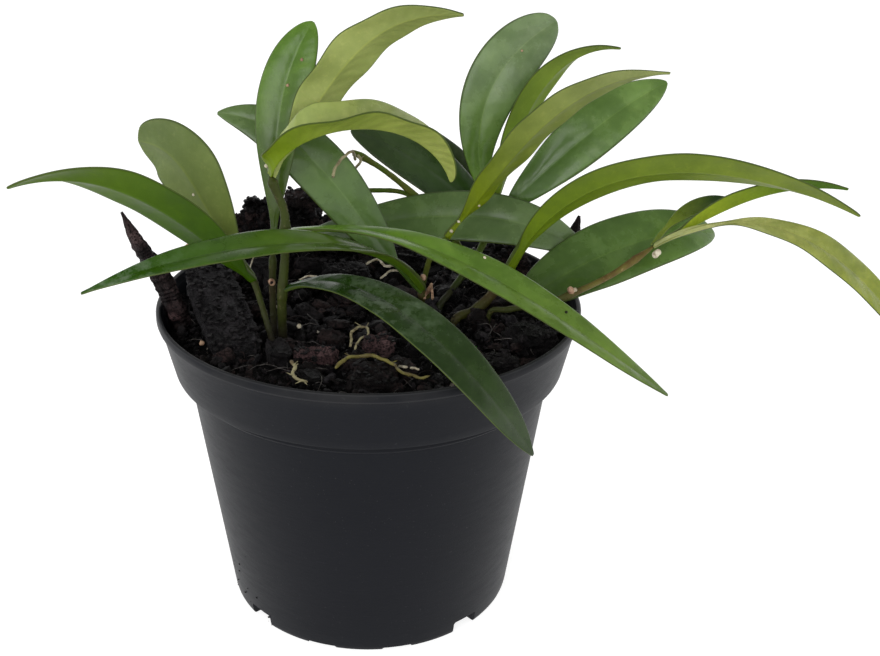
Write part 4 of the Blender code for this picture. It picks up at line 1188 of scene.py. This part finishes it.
def make_root(name, route, radius, finish):
    """A root that wanders a little and has small side nubs."""
    smooth = smooth_route(route, ROOT_RINGS)
    shape = bmesh.new()
    radii = []
    for i, point in enumerate(smooth):
        radii.append(radius * (1 - 0.32 * i / ROOT_RINGS) * (1 + 0.35 * noise.noise(point * 0.9)))
    radii[0] *= 0.6
    radii[-1] *= 0.4
    wander = [point + 0.8 * noise.noise_vector(point * 0.3) for point in smooth]
    grow_tube(shape, wander, radii, ROOT_SIDES)
    draw = random.Random(len(name))
    for _ in range(ROOT_NUBS):
        at = wander[draw.randrange(5, ROOT_RINGS - 3)]
        lean = Vector((draw.uniform(-1, 1), draw.uniform(-1, 1), draw.uniform(-0.2, 0.8))).normalized()
        length = draw.uniform(1.2, 3.0)
        nub = [at + lean * length * step / 3 for step in range(4)]
        grow_tube(shape, nub, [radius * 0.45, radius * 0.36, radius * 0.28, radius * 0.1], 7)
    bmesh.ops.recalc_face_normals(shape, faces=shape.faces)
    finish_piece(f"live_{name}", shape, [finish], [name])


def bead(shape, centre, radius, seed):
    """Adds a small lump."""
    lump = bmesh.new()
    bmesh.ops.create_icosphere(lump, subdivisions=3, radius=radius)
    for vert in lump.verts:
        vert.co *= 1 + 0.35 * noise.noise(vert.co * (1.1 / radius) + Vector((seed, 0, 0)))
        vert.co += Vector(centre)
    take_in(shape, lump)


def make_details(finishes):
    """Twigs, stubs, bud scales, scars, grains and the marks on the blades."""
    shapes = {name: bmesh.new() for name in finishes}
    for finish, route, radius in TWIGS:
        count = 8 * len(route)
        smooth = smooth_route(route, count)
        radii = [radius * (1 + 0.3 * noise.noise(point * 1.1)) for point in smooth]
        radii[0] *= 0.7
        radii[-1] *= 0.6
        twig = bmesh.new()
        grow_tube(twig, [point + 0.25 * noise.noise_vector(point * 0.5) for point in smooth], radii, 9)
        bmesh.ops.recalc_face_normals(twig, faces=twig.faces)
        take_in(shapes[finish], twig)
    for seed, (finish, centre, radius) in enumerate(BEADS):
        bead(shapes[finish], centre, radius, seed)
    for seed, (name, share, across, upper, finish, radius) in enumerate(BLEMISHES):
        bead(shapes[finish], blade_point(seated(LEAVES[name]), share, across, upper), radius, seed)
    for name, finish in finishes.items():
        finish_piece(f"details_{name}", shapes[name], [finish])


def make_dusting(finish):
    """Crumbs that lie on the loose bark pieces, and a few that cling to the pot's foot."""
    draw = random.Random(44)
    shape = bmesh.new()
    for bark in BARK.values():
        rotation = Euler([math.radians(angle) for angle in bark.turn]).to_matrix()
        for index in range(int(bark.half[0] * bark.half[1] * 1.5)):
            local = Vector((draw.uniform(-0.85, 0.85), draw.uniform(-0.85, 0.85), draw.uniform(0.72, 0.92)))
            on_top = Vector([c * h for c, h in zip(local, bark.half, strict=True)])
            at = rotation @ on_top + Vector(bark.centre)
            size = draw.uniform(0.2, 0.8)
            half = (size * draw.uniform(0.8, 1.7), size, size * 0.6)
            worn_chip(shape, at, half, (draw.uniform(-30, 30), 0, draw.uniform(0, 180)), index, 1)
    for index in range(FOOT_CRUMBS):
        height = 0.6 + 22 * draw.random() ** 2
        turn = math.radians(draw.uniform(186, 226))
        reach = BASE_RADIUS + pot_slope() * height
        at = (reach * math.cos(turn), reach * math.sin(turn), height)
        size = 0.1 + 0.35 * draw.random() ** 2
        tilt = (0, draw.uniform(-60, 60), draw.uniform(0, 180))
        worn_chip(shape, at, (size * 1.3, size, size * 0.8), tilt, index, 1)
    finish_piece("dusting", shape, [finish], sharp=35)


# Camera, floor and light

def set_camera():
    """The camera, aimed at the plant and then turned and rolled a little, as in the photograph."""
    elevation = math.radians(CAMERA_ELEVATION)
    target = Vector(CAMERA_TARGET)
    back = Vector((0.0, -math.cos(elevation), math.sin(elevation)))
    eye = target + back * CAMERA_DISTANCE
    right = Vector((1.0, 0.0, 0.0))
    up = right.cross(-back)
    yaw = math.radians(CAMERA_YAW)
    pitch = math.radians(CAMERA_PITCH)
    level = -back * math.cos(yaw) + right * math.sin(yaw)
    forward = level * math.cos(pitch) + up * math.sin(pitch)
    right = forward.cross(Vector((0.0, 0.0, 1.0))).normalized()
    up = right.cross(forward)
    roll = math.radians(CAMERA_ROLL)
    turned_right = right * math.cos(roll) + up * math.sin(roll)
    turned_up = up * math.cos(roll) - right * math.sin(roll)
    data = bpy.data.cameras.new("camera")
    data.sensor_width = SENSOR_WIDTH
    data.lens = FOCAL_PIXELS / IMAGE_WIDTH * SENSOR_WIDTH
    data.clip_start = 0.01
    data.clip_end = 20.0
    camera = put("camera", data)
    turn = Matrix((turned_right, turned_up, -forward)).transposed().to_4x4()
    camera.matrix_world = Matrix.Translation(eye * MM) @ turn
    bpy.context.scene.camera = camera


def soft_light(name, place_at, aim, size, power):
    """A round soft lamp."""
    data = bpy.data.lights.new(name, "AREA")
    data.shape = "DISK"
    data.size = size
    data.energy = power
    light = put(name, data)
    light.location = place_at
    light.rotation_euler = (Vector(aim) - Vector(place_at)).to_track_quat("-Z", "Y").to_euler()


def studio_world():
    """White light from all round, with a darker ceiling that keeps the greens deep."""
    world = bpy.data.worlds.new("studio")
    world.use_nodes = True
    tree = world.node_tree
    way = add(tree, "ShaderNodeTexCoord").outputs["Generated"]
    height = add(tree, "ShaderNodeSeparateXYZ", [("Vector", way)]).outputs["Z"]
    strength = between(tree, height, 0.2, 0.85, HORIZON_LIGHT, ZENITH_LIGHT)
    tree.links.new(strength, tree.nodes["Background"].inputs["Strength"])
    tree.nodes["Background"].inputs["Color"].default_value = (1.0, 1.0, 1.0, 1.0)
    bpy.context.scene.world = world


def make_stage():
    """A white floor under soft light."""
    shape = bmesh.new()
    bmesh.ops.create_grid(shape, x_segments=1, y_segments=1, size=5.0)
    mesh = as_mesh("floor", shape)
    finish, _, _ = new_finish(
        "white_floor", Roughness=0.9, Specular_IOR_Level=0.0, Base_Color=(0.45, 0.45, 0.45, 1.0),
        Emission_Color=(1.0, 1.0, 1.0, 1.0), Emission_Strength=FLOOR_GLOW)
    mesh.materials.append(finish)
    floor = put("floor", mesh)
    studio_world()
    soft_light("key", KEY_PLACE, KEY_AIM, KEY_SIZE, KEY_WATTS)
    bpy.context.scene.view_settings.view_transform = "Standard"
    bpy.context.scene.view_settings.look = "None"


def main():
    """Builds the stage and every piece."""
    noise.seed_set(WANDER_SEED)
    set_camera()
    make_stage()
    make_pot(moulded_plastic())

    # each bark's second colour is what its flakes and fibres lighten to, partly painted highlight
    peat = bark_finish("fine_mix", (0.0025, 0.0021, 0.0022), (0.010, 0.0080, 0.0082), 0.55, 420.0)
    dark_bark = bark_finish("dark_bark", (0.0030, 0.0026, 0.0029), (0.030, 0.0245, 0.0270), 0.40)
    brown_bark = bark_finish("brown_bark", (0.0060, 0.0040, 0.0040), (0.060, 0.038, 0.037), 0.48)
    red_bark = bark_finish("red_bark", (0.060, 0.033, 0.034), (0.170, 0.105, 0.106), 0.55, 340.0)
    grey_bark = bark_finish("grey_bark", (0.008, 0.0072, 0.0085), (0.055, 0.048, 0.054), 0.42, 300.0)
    split_wood = bark_finish(
        "split_wood", (0.013, 0.0075, 0.0080), (0.125, 0.083, 0.083), 0.5, 420.0, (1.0, 1.0, 0.12))
    pale_grit = pale_finish("pale_grain", (0.30, 0.27, 0.22), (0.12, 0.10, 0.08))
    make_bed(peat)
    make_chunks([dark_bark, brown_bark])
    make_shards([dark_bark, brown_bark, grey_bark])
    make_crumbs(dark_bark, pale_grit)
    make_heaps([dark_bark, brown_bark])
    make_fibres("torn_fibres", brown_bark, 13, 0.10, 0.28)
    dry_rootlet = pale_finish("dry_rootlet", (0.11, 0.10, 0.095), (0.035, 0.028, 0.024))
    make_fibres("dry_rootlets", dry_rootlet, 29, 0.06, 0.13)
    finishes = {"bark_red": red_bark, "bark_chip_round": red_bark, "bark_chip_front": brown_bark,
                "bark_back_top": brown_bark, "bark_slab": grey_bark}
    for name, bark in BARK.items():
        make_bark(name, bark, finishes.get(name, dark_bark))
    make_splinter("bark_stake", STAKE_ROUTE, STAKE_RADII, 3.1, split_wood)
    make_splinter("bark_spike", SPIKE_ROUTE, SPIKE_RADII, 8.4, split_wood)

    make_dusting(dark_bark)
    stuck = bmesh.new()
    worn_chip(stuck, (52.9, -20.1, 83), (0.9, 0.7, 2.3), (0, 8, -20), 2, 4)
    worn_chip(stuck, (-54.2, -7.4, 89.6), (2.2, 1.7, 0.8), (20, 10, 30), 5, 3)
    finish_piece("stuck_chips", stuck, [red_bark], sharp=35)

    cream_root = root_finish("cream_root", (0.30, 0.27, 0.15), (0.12, 0.09, 0.045))
    yellow_root = root_finish("yellow_root", (0.17, 0.150, 0.035), (0.085, 0.062, 0.022))
    for name, (route, radius) in ROOTS.items():
        make_root(name, route, radius, yellow_root if name == "root_front" else cream_root)

    green = stem_finish("green_stem", (0.060, 0.110, 0.008), (0.075, 0.085, 0.012), (0.15, 0.14, 0.05))
    olive = stem_finish("olive_stem", (0.030, 0.042, 0.004), (0.022, 0.016, 0.006), (0.10, 0.08, 0.035), 0.95)
    tan = stem_finish("tan_stem", (0.105, 0.115, 0.014), (0.085, 0.060, 0.018), (0.20, 0.16, 0.07), 0.7)
    russet = stem_finish("russet_stem", (0.115, 0.100, 0.020), (0.085, 0.050, 0.015), (0.26, 0.18, 0.08), 0.5,
                         (0.060, 0.075, 0.014))
    skins = {"stem_left": olive, "stem_left_back": olive, "stem_far_left": olive, "branch_right": russet}
    for name, stem in STEMS.items():
        make_stem(name, skins.get(name, tan if stem.woody else green))

    rosy = pale_finish("rosy_scale", (0.42, 0.27, 0.17), (0.20, 0.10, 0.06))
    pale = pale_finish("pale_stub", (0.55, 0.50, 0.38), (0.26, 0.21, 0.13))
    make_details({"rosy": rosy, "pale": pale, "dark": brown_bark, "straw": cream_root})

    blade_finishes = [leaf_upper(), leaf_underside(), leaf_edge()]
    for name, leaf in LEAVES.items():
        make_leaf(name, leaf, blade_finishes)


main()
